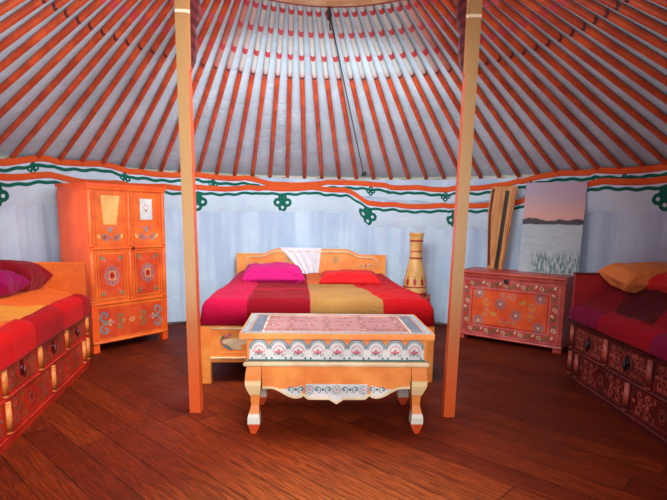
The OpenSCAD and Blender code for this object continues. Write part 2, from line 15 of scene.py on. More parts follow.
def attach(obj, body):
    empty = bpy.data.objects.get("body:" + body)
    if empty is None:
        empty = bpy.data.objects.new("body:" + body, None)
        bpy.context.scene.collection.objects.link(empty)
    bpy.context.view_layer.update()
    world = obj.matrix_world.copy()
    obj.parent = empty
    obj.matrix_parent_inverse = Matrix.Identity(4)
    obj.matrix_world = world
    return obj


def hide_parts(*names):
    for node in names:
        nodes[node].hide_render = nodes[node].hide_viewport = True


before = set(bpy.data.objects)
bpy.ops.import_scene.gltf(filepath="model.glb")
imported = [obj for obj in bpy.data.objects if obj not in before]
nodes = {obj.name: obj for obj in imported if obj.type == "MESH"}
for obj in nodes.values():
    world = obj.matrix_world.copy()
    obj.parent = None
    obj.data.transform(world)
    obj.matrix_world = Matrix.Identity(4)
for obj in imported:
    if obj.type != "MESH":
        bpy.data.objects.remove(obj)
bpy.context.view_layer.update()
scene = bpy.context.scene
scene.view_settings.view_transform = "Standard"


def put(name, data):
    """Makes an object and puts it in the scene."""
    made = bpy.data.objects.new(name, data)
    scene.collection.objects.link(made)
    return made


# %% [markdown]
# ## The measures that pieces share
# The numbers repeat the CAD source, so a painted flower or a fold of cloth can be placed from the wall, the
# ring or a piece of furniture and not from a guess. Angles are in degrees round the house, with 0 towards +X.

# %% Shared measures
DECK = 0.08
WALL_R = 2.95
WALL_TOP = 1.68
COVER_R = 3.0096
RING_R, RING_Z, RING_H = 0.90, 2.71, 0.11
JAMB_X = 0.50
POLES, POLE_SKEW = 96, 9.0
SLOPE = (RING_Z + RING_H / 2 - 1.7037) / (2.9683 - RING_R)


def over(r):
    """Height of the line on top of the poles at radius r."""
    return RING_Z + RING_H / 2 + (RING_R - r) * SLOPE + 0.0213 * math.hypot(1, SLOPE)


def door_angle(r, clear=0.0003):
    """Half the angle that the doorway takes out of a circle of radius r, in degrees."""
    return math.degrees(math.asin((JAMB_X + clear) / r))


def polar(r, a, z=0.0):
    return Vector((r * math.cos(math.radians(a)), r * math.sin(math.radians(a)), z))


def move(x, y, z):
    return Matrix.Translation((x, y, z))


def spin(axis, degrees):
    return Matrix.Rotation(math.radians(degrees), 4, axis)


def turned(angle, x=0.0, y=0.0, z=0.0):
    return spin("Z", angle) @ move(x, y, z)


BED_Y = math.sqrt(WALL_R**2 - 0.82**2) - 0.09 - 2.18
CHEST_Y = math.sqrt((WALL_R - 0.017) ** 2 - 0.736**2) - 0.39
PLACE = {
    "robe": Matrix.Translation(polar(2.288, 138.9, DECK)) @ turned(53.6, -0.363),
    "bed": turned(4, -0.82, BED_Y, DECK),
    "left": turned(100.4, 1.186, 1.631, DECK) @ Matrix.Scale(-1, 4, (1, 0, 0)),
    "right": turned(-90, -0.73, 1.804, DECK),
    "chest": turned(-37.8, -0.244, CHEST_Y, DECK),
    "table": move(0.07, -0.065, DECK) @ turned(2.5),
    "cab": turned(4, 0.892, BED_Y + 1.693, DECK) @ turned(-14),
}
slope_angle = math.degrees(math.atan(SLOPE))
print("roof slope", round(slope_angle, 1), "degrees; eave line at", round(over(COVER_R), 3))

# %% [markdown]
# ## The camera
# The picture is taken from the doorway, 1.25 m over the ground, with a lens of about 28 mm that looks a
# little down. The sensor shift keeps the photograph's framing. It comes first, because everything else is
# judged in it.

# %% Camera
lens = bpy.data.cameras.new("camera")
lens.sensor_width, lens.lens = 36, 36 * 512 / 667
lens.shift_y = 39 / 667
lens.clip_start, lens.clip_end = 0.02, 200
camera = put("camera", lens)
camera.matrix_world = move(0.055, -2.95, 1.25) @ spin("X", 90 - 8) @ spin("Z", 1.0)
scene.camera = camera
print("lens", round(lens.lens, 1), "mm, shift", round(lens.shift_y, 4))

# %% [markdown]
# ## Shader helpers
# A material is a small graph. Writing the graph by hand for each finish would hide the idea in wiring, so one
# helper adds a node and feeds its sockets with numbers or with other sockets. Colours are written as they
# look on a screen.


# %% Shader helpers
def colour(r, g, b):
    """A screen colour, 0 to 255, as the linear values that a shader wants."""
    shares = [v / 255 for v in (r, g, b)]
    return (*(((v + 0.055) / 1.055) ** 2.4 if v > 10 / 255 else v / 12.92 for v in shares), 1.0)


class Graph:
    """Adds shader nodes to one tree and wires them."""

    def __init__(self, tree):
        self.tree = tree

    def add(self, kind, feeds=None, **settings):
        made = self.tree.nodes.new("ShaderNode" + kind)
        for key, value in settings.items():
            setattr(made, key, value)
        for key, value in (feeds or {}).items():
            self.feed(made.inputs[key], value)
        return made

    def feed(self, socket, value):
        if isinstance(value, bpy.types.NodeSocket):
            self.tree.links.new(value, socket)
        elif value is not None:
            socket.default_value = value

    def math(self, operation, a, b=None):
        return self.add("Math", {0: a, 1: b}, operation=operation).outputs[0]

    def plus(self, a, b):
        return self.math("ADD", a, b)

    def minus(self, a, b):
        return self.math("SUBTRACT", a, b)

    def times(self, a, b):
        return self.math("MULTIPLY", a, b)

    def over(self, a, b):
        return self.math("DIVIDE", a, b)

    def size(self, a):
        """The value without its sign."""
        return self.math("ABSOLUTE", a)

    def length(self, vector):
        return self.add("VectorMath", {0: vector}, operation="LENGTH").outputs["Value"]

    def mix(self, share, a, b, blend="MIX"):
        made = self.add("Mix", {0: share, 6: a, 7: b}, data_type="RGBA", blend_type=blend)
        return made.outputs[2]

    def between(self, value, low, high, out_low=0.0, out_high=1.0):
        made = self.add(
            "MapRange", {0: value, 1: low, 2: high, 3: out_low, 4: out_high}, interpolation_type="SMOOTHSTEP"
        )
        return made.outputs[0]

    def noise(self, scale, detail=3.0, where=None, rough=0.5):
        made = self.add("TexNoise", {"Scale": scale, "Detail": detail, "Roughness": rough})
        if where is not None:
            self.feed(made.inputs["Vector"], where)
        return made.outputs["Fac"]

    def here(self):
        """The point in the frame, in metres: every piece keeps its mesh in frame coordinates."""
        return self.add("TexCoord").outputs["Object"]

    def xyz(self, vector):
        return self.add("SeparateXYZ", {0: vector}).outputs

    def join(self, x, y, z):
        return self.add("CombineXYZ", {0: x, 1: y, 2: z}).outputs[0]


def effect(name, takes, gives, build):
    """A shader node group: takes and gives are {socket: default}, build wires it."""
    tree = bpy.data.node_groups.new(name, "ShaderNodeTree")
    for label, value in takes.items():
        kind = "NodeSocketVector" if value == "vector" else "NodeSocketFloat"
        socket = tree.interface.new_socket(label, in_out="INPUT", socket_type=kind)
        if kind == "NodeSocketFloat":
            socket.default_value = value
    for label in gives:
        tree.interface.new_socket(label, in_out="OUTPUT", socket_type="NodeSocketFloat")
    g = Graph(tree)
    takes_node, gives_node = tree.nodes.new("NodeGroupInput"), tree.nodes.new("NodeGroupOutput")
    for label, socket in build(g, takes_node.outputs).items():
        tree.links.new(socket, gives_node.inputs[label])
    return tree


def use(g, tree, **feeds):
    """Places a node group in a material and returns its outputs."""
    made = g.tree.nodes.new("ShaderNodeGroup")
    made.node_tree = tree
    for label, value in feeds.items():
        g.feed(made.inputs[label.replace("_", " ")], value)
    return made.outputs


# %% [markdown]
# ## Effects that several finishes share
# Wood has long pores and slow bands; brushed paint has streaks, chips and a little grime; cloth has a weave
# that crosses at right angles and a slower creasing. Each is built once as a node group that gives only masks
# and heights.


# %% Wood grain
def build_grain(g, takes):
    where, pitch, stretch = takes["Vector"], takes["Pitch"], takes["Stretch"]
    x, y, z = g.xyz(where)[:3]
    across = g.join(g.times(x, pitch), g.times(y, pitch), g.over(g.times(z, pitch), stretch))
    band = g.noise(1.0, 2.0, across)
    pores = g.noise(7.0, 4.0, across, 0.7)
    rings = g.math("FRACT", g.times(band, 7.0))
    line = g.between(g.size(g.minus(rings, 0.5)), 0.0, 0.42)
    return {
        "Band": g.times(band, line), "Pores": g.between(pores, 0.42, 0.62), "Tone": g.noise(0.35, 1.0, across)
    }


GRAIN = effect(
    "wood grain", {"Vector": "vector", "Pitch": 22.0, "Stretch": 12.0}, ["Band", "Pores", "Tone"], build_grain
)


# %% Brushed paint, weave, creases and dust
def build_brush(g, takes):
    where = g.here()
    x, y, z = g.xyz(where)[:3]
    streak = g.noise(1.0, 3.0, g.join(g.times(x, 160.0), g.times(y, 160.0), g.times(z, 14.0)))
    patch = g.noise(takes["Patch"], 3.0, where, 0.6)
    chips = g.between(g.noise(58.0, 5.0, where, 0.72), 0.66, 0.70)
    chips = g.times(chips, g.between(patch, 0.5, 0.66))
    return {"Streak": streak, "Tone": patch, "Chip": chips}


BRUSH = effect("brushed paint", {"Patch": 6.0}, ["Streak", "Tone", "Chip"], build_brush)


def build_weave(g, takes):
    where = g.here()
    turns = g.over(6.2832, takes["Pitch"])
    waves = [g.math("SINE", g.times(axis, turns)) for axis in g.xyz(where)[:3]]
    pairs = [g.times(waves[i], waves[(i + 1) % 3]) for i in range(3)]
    thread = g.plus(g.plus(pairs[0], pairs[1]), pairs[2])
    slub = g.noise(38.0, 4.0, where, 0.65)
    return {"Thread": thread, "Slub": slub, "Tone": g.noise(2.3, 4.0, where, 0.55)}


WEAVE = effect("woven cloth", {"Pitch": 0.004}, ["Thread", "Slub", "Tone"], build_weave)


def build_crease(g, takes):
    where = g.here()
    lifted = g.join(0.0, 0.0, g.times(g.noise(2.0, 2.0, where), 0.6))
    bent = g.add("VectorMath", {0: where, 1: lifted}, operation="ADD").outputs["Vector"]
    soft = g.noise(takes["Scale"], 3.0, bent, 0.5)
    fold = g.size(g.minus(soft, 0.5))
    return {"Fold": g.between(fold, 0.0, 0.09), "Grime": g.between(g.noise(1.4, 5.0, where, 0.6), 0.45, 0.75)}


CREASE = effect("creases", {"Scale": 5.0}, ["Fold", "Grime"], build_crease)
print("effects:", [t.name for t in bpy.data.node_groups])

# %% [markdown]
# ## Finishes
# Every finish starts from the same Principled shader. `finish` makes the material and hands back its graph,
# and the recipes below feed it. Values that are the same all over, such as a sheen or a coat, go straight on
# the shader.


# %% Material recipes
def finish(name, **settings):
    material = bpy.data.materials.new(name)
    material.use_nodes = True
    g = Graph(material.node_tree)
    shader = material.node_tree.nodes["Principled BSDF"]
    for label, value in settings.items():
        shader.inputs[label.replace("_", " ")].default_value = value
    return material, g, shader


def raise_surface(g, shader, height, distance):
    bump = g.add("Bump", {"Height": height, "Distance": distance, "Strength": 1.0})
    g.feed(shader.inputs["Normal"], bump.outputs[0])


def dress(g, shader, base, rough, height, distance):
    """Feeds a shader its colour, its roughness and a relief of this height in metres."""
    g.feed(shader.inputs["Base Color"], base)
    g.feed(shader.inputs["Roughness"], rough)
    raise_surface(g, shader, height, distance)


def lay_paint(g, shader, base, brush, chipped=True):
    """Feeds a shader a colour with the gloss and the relief of brush strokes, and of chips where it has
    them."""
    height = g.times(brush["Streak"], 0.5)
    if chipped:
        height = g.minus(height, brush["Chip"])
    dress(g, shader, base, g.between(brush["Streak"], 0.2, 0.8, 0.36, 0.55), height, 0.0006)


BARE_WOOD = colour(196, 150, 98)


def paint(name, tone, deep):
    """Brush-painted wood: streaks, slow changes of tone, a few chips down to bare wood."""
    material, g, shader = finish(name, Coat_Weight=0.12, Coat_Roughness=0.3)
    brush = use(g, BRUSH)
    base = g.mix(g.between(brush["Tone"], 0.3, 0.75), deep, tone)
    base = g.mix(g.times(brush["Streak"], 0.22), base, deep)
    base = g.mix(g.times(brush["Chip"], 0.55), base, BARE_WOOD)
    height = g.minus(g.times(brush["Streak"], 0.5), brush["Chip"])
    dress(g, shader, base, g.between(brush["Streak"], 0.2, 0.8, 0.34, 0.54), height, 0.0006)
    return material


def timber(name, tone, dark, pitch=22.0, along="z", rough=0.55):
    """Bare or oiled wood with its grain along one axis of the frame."""
    material, g, shader = finish(name)
    x, y, z = g.xyz(g.here())[:3]
    where = {"z": (x, y, z), "x": (z, y, x), "y": (x, z, y)}[along]
    grain = use(g, GRAIN, Vector=g.join(*where), Pitch=pitch)
    base = g.mix(g.between(grain["Band"], 0.1, 0.6), dark, tone)
    base = g.mix(g.times(grain["Pores"], 0.35), base, dark)
    dress(
        g, shader, base, g.between(grain["Pores"], 0.0, 1.0, rough, rough + 0.15),
        g.minus(1.0, grain["Pores"]), 0.0005
    )
    return material


def cloth(name, tone, deep, sheen=0.05, crease=0.35, grime=0.15, see_through=0.0, painted_fold_shade=0.0):
    """Woven cloth: threads that cross, slubs, soft creases, a little grime, and, where asked for, upright
    streaks of painted shade that stand in for the shading of hanging folds."""
    material, g, shader = finish(name, Sheen_Weight=sheen, Sheen_Roughness=0.45)
    shader.inputs["Specular IOR Level"].default_value = 0.15
    shader.inputs["Alpha"].default_value = 1.0 - see_through
    weave, crush = use(g, WEAVE), use(g, CREASE)
    base = g.mix(g.between(weave["Tone"], 0.25, 0.75, 0.0, 0.5), tone, deep)
    base = g.mix(g.between(weave["Thread"], -1.0, 1.2, 0.16, 0.0), base, deep)
    base = g.mix(g.times(crush["Grime"], grime), base, deep)
    # painted shade: upright darker streaks, as the shade between hanging folds would give
    if painted_fold_shade:
        x, y, z = g.xyz(g.here())[:3]
        streak = g.noise(7.0, 3.0, g.join(x, y, g.times(z, 0.06)))
        base = g.mix(g.between(streak, 0.40, 0.64, 0.0, painted_fold_shade), base, deep)
    height = g.plus(g.times(weave["Thread"], 0.06), g.times(weave["Slub"], 0.25))
    height = g.plus(height, g.times(crush["Fold"], crease * 4))
    dress(g, shader, base, g.between(weave["Slub"], 0.3, 0.7, 0.77, 0.95), height, 0.0012)
    return material


# %% [markdown]
# ## The paint pots and the cloths
# Steppe furniture is painted orange or red with ochre, cream, blue-grey, teal and pink ornament. The pots are
# named once here, so that a flower on the chest and one on the wardrobe come out of the same pot.

# %% Paint pots and cloths
POT = {
    name: paint(name + " paint", colour(*pale), colour(*deep))
    for name, pale, deep in (
        ("orange", (242, 122, 40), (216, 88, 28)), ("gold", (240, 156, 76), (218, 120, 50)),
        ("vermilion", (230, 88, 38), (196, 58, 28)), ("coral", (214, 92, 70), (176, 60, 48)),
        ("brick", (200, 62, 30), (150, 36, 20)), ("rust", (196, 98, 74), (150, 64, 50)),
        ("dusky", (172, 84, 70), (124, 54, 48)), ("tan", (238, 190, 112), (214, 152, 80)),
        ("tangerine", (248, 108, 50), (226, 76, 34)), ("honey", (252, 168, 78), (238, 132, 52)),
        ("ember", (250, 98, 26), (232, 78, 20)), ("russet", (206, 46, 16), (168, 26, 10)),
        ("ash", (168, 96, 78), (126, 62, 52)), ("moss", (142, 82, 38), (106, 56, 28)),
        ("sage", (150, 146, 96), (110, 112, 72)), ("slate", (112, 122, 136), (82, 90, 104)),
        ("rose", (178, 126, 122), (152, 100, 98)), ("maroon", (116, 26, 26), (74, 14, 16)),
        ("ochre", (230, 160, 78), (196, 122, 52)), ("cream", (240, 222, 184), (206, 178, 132)),
        ("white", (232, 232, 226), (190, 192, 190)), ("steel", (140, 158, 164), (98, 116, 126)),
        ("teal", (42, 128, 118), (24, 84, 84)), ("green", (96, 140, 84), (60, 100, 60)),
        ("red", (204, 40, 44), (146, 22, 30)), ("pink", (224, 130, 134), (184, 84, 100)),
        ("violet", (92, 58, 128), (60, 34, 90)), ("black", (34, 26, 26), (18, 14, 14)),
    )
}
CLOTH = {
    "lining": cloth(
        "white lining cotton", colour(214, 236, 250), colour(162, 186, 216), crease=0.5, painted_fold_shade=0.55
    ),
    "band": cloth("white band cotton", colour(214, 236, 248), colour(178, 200, 222), crease=0.5),
    "roof": cloth("roof lining cotton", colour(206, 226, 238), colour(150, 162, 172), crease=0.6, grime=0.4),
    "orange": cloth("orange band cotton", colour(236, 104, 50), colour(190, 66, 32), crease=0.2),
    "green": cloth("green applique cotton", colour(24, 112, 92), colour(14, 76, 66), crease=0.2),
    "red": cloth("red quilt cotton", colour(206, 34, 34), colour(150, 14, 22), sheen=0.06),
    "scarlet": cloth("scarlet quilt cotton", colour(210, 28, 30), colour(160, 12, 18), sheen=0.06),
    "wine": cloth("wine quilt cotton", colour(150, 10, 26), colour(98, 4, 14), sheen=0.06),
    "magenta": cloth("magenta quilt cotton", colour(198, 24, 110), colour(150, 12, 78), sheen=0.06),
    "violet": cloth("violet pillow cotton", colour(160, 10, 84), colour(104, 6, 60), sheen=0.06),
    "amber": cloth("amber quilt cotton", colour(236, 142, 74), colour(196, 100, 48), sheen=0.06),
    "sheet": cloth("mattress ticking", colour(222, 214, 200), colour(180, 170, 156)),
    "veil": cloth(
        "thin white veil", colour(246, 244, 248), colour(218, 216, 228), crease=0.6, see_through=0.12
    ),
}
print(len(POT), "pots,", len(CLOTH), "cloths")

# %% [markdown]
# ## Building meshes
# Most pieces here are sheets that follow a rule, such as a wall of folded cloth, or bars with a section that
# changes. Two makers cover them: `surface` turns a rule of two numbers into a grid, and `sweep` carries a
# ring of points on a path.


# %% Mesh makers
def piece(name, points, faces, paints, slot, which=None, smooth=True, hides=()):
    """Makes the object, paints it and lets it ride on the house; slot is not used."""
    mesh = bpy.data.meshes.new(name)
    mesh.from_pydata([tuple(p) for p in points], [], faces)
    for one in paints if isinstance(paints, (list, tuple)) else [paints]:
        mesh.materials.append(one)
    if which:
        mesh.polygons.foreach_set("material_index", which)
    mesh.polygons.foreach_set("use_smooth", [smooth] * len(mesh.polygons))
    mesh.update()
    made = put(name, mesh)
    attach(made, "root")
    if hides:
        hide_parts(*hides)
    return made


def surface(rule, nu, nv, round_u=False):
    """Points and faces of a grid; rule(u, v) with u and v from 0 to 1."""
    cols = nu if round_u else nu + 1
    points = [rule(i / nu, j / nv) for j in range(nv + 1) for i in range(cols)]
    faces = []
    for j in range(nv):
        for i in range(nu):
            k = (i + 1) % cols
            faces.append((j * cols + i, j * cols + k, (j + 1) * cols + k, (j + 1) * cols + i))
    return points, faces


def thicken(made, by, offset=-1.0):
    grown = made.modifiers.new("thickness", "SOLIDIFY")
    grown.thickness, grown.offset = by, offset


def soften(made, width):
    """Takes the sharp edge off a solid piece."""
    eased = made.modifiers.new("eased edges", "BEVEL")
    eased.width, eased.segments, eased.limit_method, eased.angle_limit = width, 2, "ANGLE", math.radians(40)


def ring_faces(rings, n, foot=True, head=True):
    """Faces that join rings of n points one after the other, with a cap at each end that has one."""
    faces = []
    for j in range(0, (rings - 1) * n, n):
        faces += [(j + k, j + (k + 1) % n, j + n + (k + 1) % n, j + n + k) for k in range(n)]
    if foot:
        faces.append(tuple(range(n - 1, -1, -1)))
    if head:
        faces.append(tuple(range((rings - 1) * n, rings * n)))
    return faces


def sweep(path, radius, sides=8):
    """Points and faces of a closed round bar on a path; radius may be a rule of the share along it."""
    points, side = [], None
    for i, p in enumerate(path):
        ahead = (path[min(i + 1, len(path) - 1)] - path[max(i - 1, 0)]).normalized()
        if side is None:
            side = ahead.orthogonal().normalized()
        side = (side - ahead * side.dot(ahead)).normalized()
        other = ahead.cross(side)
        r = radius(i / (len(path) - 1)) if callable(radius) else radius
        for k in range(sides):
            a = 2 * math.pi * k / sides
            points.append(p + side * (r * math.cos(a)) + other * (r * math.sin(a)))
    return points, ring_faces(len(path), sides)


def lathe(profile, sides=32, at=(0, 0, 0), matrix=None):
    """A turned piece; profile is [(radius, height)]."""
    points = []
    for r, z in profile:
        for k in range(sides):
            a = 2 * math.pi * k / sides
            points.append(Vector((at[0] + r * math.cos(a), at[1] + r * math.sin(a), at[2] + z)))
    if matrix is not None:
        points = [matrix @ p for p in points]
    return points, ring_faces(len(profile), sides, profile[0][0] > 1e-6, profile[-1][0] > 1e-6)


def gather(parts):
    """Joins [(points, faces), ...] into one list of points and one of faces."""
    points, faces = [], []
    for some_points, some_faces in parts:
        start = len(points)
        points += some_points
        faces += [tuple(i + start for i in f) for f in some_faces]
    return points, faces


def slab(x, y, z, w, d, h, matrix=None):
    """Points and faces of a box with one corner at x, y, z."""
    points = [Vector((x + w * i, y + d * j, z + h * k)) for k in (0, 1) for j in (0, 1) for i in (0, 1)]
    faces = [(0, 2, 3, 1), (4, 5, 7, 6), (0, 1, 5, 4), (2, 6, 7, 3), (0, 4, 6, 2), (1, 3, 7, 5)]
    if matrix is not None:
        points = [matrix @ p for p in points]
        if matrix.determinant() < 0:
            faces = [f[::-1] for f in faces]
    return points, faces


def clamp(t):
    return min(1.0, max(0.0, t))


def smooth(t):
    """0 to 1 with a soft start and end."""
    t = clamp(t)
    return t * t * (3 - 2 * t)


def wander(*where, seed=0.0):
    """Smooth noise from -1 to 1 that is the same in every run."""
    p = list(where) + [0.0] * (3 - len(where))
    return noise.noise(Vector(p) + Vector((seed * 7.3, seed * 3.1, seed * 5.7)))


# %% [markdown]
# ## The floor
# The floor is of dark, oiled boards that cross the house on a slant. The CAD disc has the right shape, so
# only its material is new: boards are counted across, butt joints are staggered along, and each board gets
# its own tone and grain.

# %% Floor boards and joists
def floor_boards(width=0.15, length=1.9, slant=-47.0):
    material, g, shader = finish("oiled floor boards")
    shader.inputs["Specular IOR Level"].default_value = 0.1
    turned_here = {"Vector": g.here(), "Angle": math.radians(slant)}
    x, y, z = g.xyz(g.add("VectorRotate", turned_here, rotation_type="Z_AXIS").outputs[0])[:3]
    row = g.math("FLOOR", g.over(x, width))
    jog = g.add("TexWhiteNoise", {"Vector": g.join(row, 3.0, 0.0)}).outputs["Value"]
    run = g.plus(g.over(y, length), g.times(jog, 5.0))
    board = g.add("TexWhiteNoise", {"Vector": g.join(row, g.math("FLOOR", run), 7.0)}).outputs["Value"]
    across = g.size(g.minus(g.math("FRACT", g.over(x, width)), 0.5))
    along = g.size(g.minus(g.math("FRACT", run), 0.5))
    seam = g.math("MAXIMUM", g.between(across, 0.478, 0.492), g.between(along, 0.4975, 0.499))
    shift = g.join(g.plus(x, g.times(board, 9.0)), z, g.plus(y, g.times(board, 31.0)))
    grain = use(g, GRAIN, Vector=shift, Pitch=26.0, Stretch=14.0)
    base = g.mix(board, colour(112, 34, 10), colour(150, 56, 18))
    # painted light and shade: a pale pool of light inside the door, and painted shade that darkens the boards
    # towards the far wall and the right
    px, py, _ = g.xyz(g.here())[:3]
    path = g.plus(py, g.times(px, 0.45))
    spot = g.length(g.join(g.minus(px, 0.15), g.times(g.plus(py, 1.9), 0.8), 0.0))
    base = g.mix(g.between(spot, 0.3, 1.3, 0.9, 0.0), base, colour(214, 116, 54))
    base = g.mix(g.between(path, -0.6, 0.9, 0.0, 0.6), base, colour(66, 14, 5))
    base = g.mix(g.between(grain["Band"], 0.05, 0.55, 0.5, 0.0), base, colour(64, 20, 10))
    base = g.mix(g.times(grain["Pores"], 0.4), base, colour(58, 18, 10))
    base = g.mix(g.times(g.between(g.noise(1.1, 4.0, g.here()), 0.5, 0.75), 0.3), base, colour(76, 26, 14))
    base = g.mix(g.times(seam, 0.6), base, colour(34, 14, 10))
    height = g.minus(g.times(grain["Pores"], -0.25), g.times(seam, 2.0))
    dress(g, shader, base, g.between(g.noise(3.0, 4.0, g.here()), 0.3, 0.7, 0.46, 0.62), height, 0.0012)
    return material


FLOOR = floor_boards()
SAWN = timber("sawn softwood", colour(214, 170, 112), colour(164, 116, 66), along="x")
SAWN_UP = timber("sawn softwood laths", colour(206, 158, 100), colour(156, 106, 60), pitch=30.0)
print("boards 150 mm wide, laid at 47 degrees")

# %% [markdown]
# ## Poles, ring, posts and doorway
# These CAD solids are already right in shape. The poles are plain orange towards the wall and ringed near the
# crown, so their paint reads the distance from the axis of the house. The posts have an ochre front and an
# orange side, which the surface normal tells apart.


# %% Painted poles
def ringed_poles():
    """Orange poles; the ones over the back of the room have a pale upper part that is painted glare, and all
    have small red marks there."""
    material, g, shader = finish("ringed pole paint", Coat_Weight=0.2, Coat_Roughness=0.25)
    x, y = g.xyz(g.here())[:2]
    r = g.length(g.join(x, y, 0.0))
    brush = use(g, BRUSH)
    base = g.mix(g.between(brush["Tone"], 0.3, 0.75), colour(176, 62, 28), colour(226, 92, 40))
    # painted glare: the upper part of the poles over the back of the room is turned pale
    pale = g.mix(g.times(brush["Streak"], 0.5), colour(206, 212, 208), colour(168, 164, 158))
    back = g.between(g.over(g.size(x), g.math("MAXIMUM", y, 0.05)), 0.85, 0.45)
    back = g.times(back, g.between(y, 0.2, 0.5))
    base = g.mix(g.times(g.between(r, 1.60, 1.50), back), base, pale)
    for middle, half, tone in (
        (1.57, 0.012, colour(84, 30, 30)), (1.37, 0.026, colour(198, 62, 66)),
        (1.16, 0.024, colour(206, 84, 88)), (0.99, 0.020, colour(198, 62, 66)),
    ):
        gap = g.size(g.minus(r, middle))
        base = g.mix(g.between(gap, half, half - 0.004), base, tone)
    lay_paint(g, shader, base, brush)
    return material


def ring_face():
    """The crown ring: a cream face inside, with a red line round its lower outer edge."""
    material, g, shader = finish("crown ring paint", Coat_Weight=0.2, Coat_Roughness=0.25)
    x, y = g.xyz(g.here())[:2]
    r = g.length(g.join(x, y, 0.0))
    brush = use(g, BRUSH)
    base = g.mix(g.between(brush["Tone"], 0.3, 0.75), colour(206, 150, 96), colour(232, 198, 144))
    base = g.mix(g.between(r, RING_R - 0.030, RING_R - 0.026), base, colour(150, 44, 26))
    lay_paint(g, shader, base, brush, chipped=False)
    return material


def two_coats(name, low, high, cut):
    """Paint that changes at the height cut; low and high are (pale, deep) pairs."""
    material, g, shader = finish(name, Coat_Weight=0.12, Coat_Roughness=0.3)
    z = g.xyz(g.here())[2]
    brush = use(g, BRUSH)
    tone = g.between(brush["Tone"], 0.3, 0.75)
    below, above = g.mix(tone, low[1], low[0]), g.mix(tone, high[1], high[0])
    base = g.mix(g.between(z, cut - 0.001, cut + 0.001), below, above)
    lay_paint(g, shader, base, brush, chipped=False)
    return material


LEFT_BASE = two_coats(
    "left bed paint", (colour(198, 42, 16), colour(160, 26, 10)), (colour(232, 114, 32), colour(208, 90, 26)),
    DECK + 0.47
)
RIGHT_BASE = two_coats(
    "right bed paint", (colour(104, 24, 24), colour(70, 14, 16)), (colour(182, 40, 40), colour(146, 30, 32)),
    DECK + 0.47
)


def footed_legs():
    """Table legs: a red foot, a white ankle, an orange shin and a cream knee."""
    material, g, shader = finish("table leg paint", Coat_Weight=0.2, Coat_Roughness=0.25)
    z = g.xyz(g.here())[2]
    brush = use(g, BRUSH)
    base = g.mix(g.times(brush["Streak"], 0.6), colour(232, 142, 62), colour(206, 104, 42))
    for low, high, tone in (
        (0.0, 0.140, colour(222, 84, 40)), (0.140, 0.195, colour(226, 222, 204)),
        (0.300, 0.385, colour(232, 206, 150))
    ):
        band = g.times(g.between(z, low - 0.006, low + 0.006), g.between(z, high + 0.006, high - 0.006))
        base = g.mix(band, base, tone)
    base = g.mix(g.times(brush["Chip"], 0.5), base, colour(190, 140, 90))
    lay_paint(g, shader, base, brush)
    return material


def two_tone_post():
    """Ochre towards the doorway, orange at the sides, pale rings near the top, red carving in the bracket."""
    material, g, shader = finish("two-tone post paint", Coat_Weight=0.2, Coat_Roughness=0.25)
    where = g.here()
    x, y, z = g.xyz(where)[:3]
    normal = g.xyz(g.add("NewGeometry").outputs["Normal"])
    brush = use(g, BRUSH)
    side = g.mix(g.times(brush["Streak"], 0.6), colour(206, 84, 34), colour(160, 56, 24))
    front = g.mix(g.times(brush["Streak"], 0.6), colour(172, 132, 82), colour(146, 102, 58))
    base = g.mix(g.between(g.size(normal[1]), 0.5, 0.8), side, front)
    base = g.mix(g.between(z, 1.0, 0.12, 0.0, 0.85), base, colour(236, 88, 24))
    for height in (2.33, 2.42, 2.52, 2.62):
        gap = g.size(g.minus(z, height))
        base = g.mix(g.between(gap, 0.010, 0.007), base, colour(226, 204, 172))
    inside = g.minus(0.742, g.size(x))
    carved = g.times(g.between(inside, 0.0, 0.002), g.between(z, 1.95, 1.96))
    scroll = g.between(g.math("SINE", g.times(g.plus(z, inside), 95.0)), -0.2, 0.2)
    base = g.mix(carved, base, g.mix(scroll, colour(70, 14, 20), colour(98, 30, 34)))
    lay_paint(g, shader, base, brush)
    return material


POLE, POST, LEG, RING = ringed_poles(), two_tone_post(), footed_legs(), ring_face()
print("pole, post, leg and ring paints made")

# %% [markdown]
# ## Paint the CAD solids that stay
# A CAD object is never moved or reshaped. Giving it a finish is one assignment, so a table of node and finish
# says it all.

# %% Assign finishes
FINISH = {
    "floor_boards": FLOOR, "floor_joists": SAWN, "threshold": POT["ochre"], "door_frame": POT["orange"],
    "door_leaf": POT["orange"], "lattice_right": SAWN_UP, "lattice_back_right": SAWN_UP,
    "lattice_back_left": SAWN_UP, "lattice_left": SAWN_UP, "poles_right": POLE, "poles_back": POLE,
    "poles_left": POLE, "poles_front": POLE, "crown_ring": RING, "crown_spokes": POT["brick"],
    "post_left": POST, "post_right": POST, "wardrobe_case": POT["ember"], "wardrobe_doors": POT["orange"],
    "wardrobe_drawer": POT["orange"], "back_bed_frame": POT["honey"], "left_bed_base": LEFT_BASE,
    "right_bed_base": RIGHT_BASE, "chest_body": POT["coral"], "chest_lid": POT["coral"],
    "table_top": POT["gold"], "table_body": POT["gold"], "table_legs": LEG,
    "bedside_cabinet": POT["brick"], "vase": POT["tan"],
}


def repaint(node, material):
    slots = nodes[node].data.materials
    slots.clear()
    slots.append(material)


for name, material in FINISH.items():
    repaint(name, material)
print(len(FINISH), "nodes painted")

# %% [markdown]
# ## The hung lining
# White cotton hangs from the wall top to the floor inside the lattice. It is gathered, so it falls in uneven
# folds that grow towards its foot. A sheet that follows a rule shows this better than a simulation of
# eighteen metres of cloth.


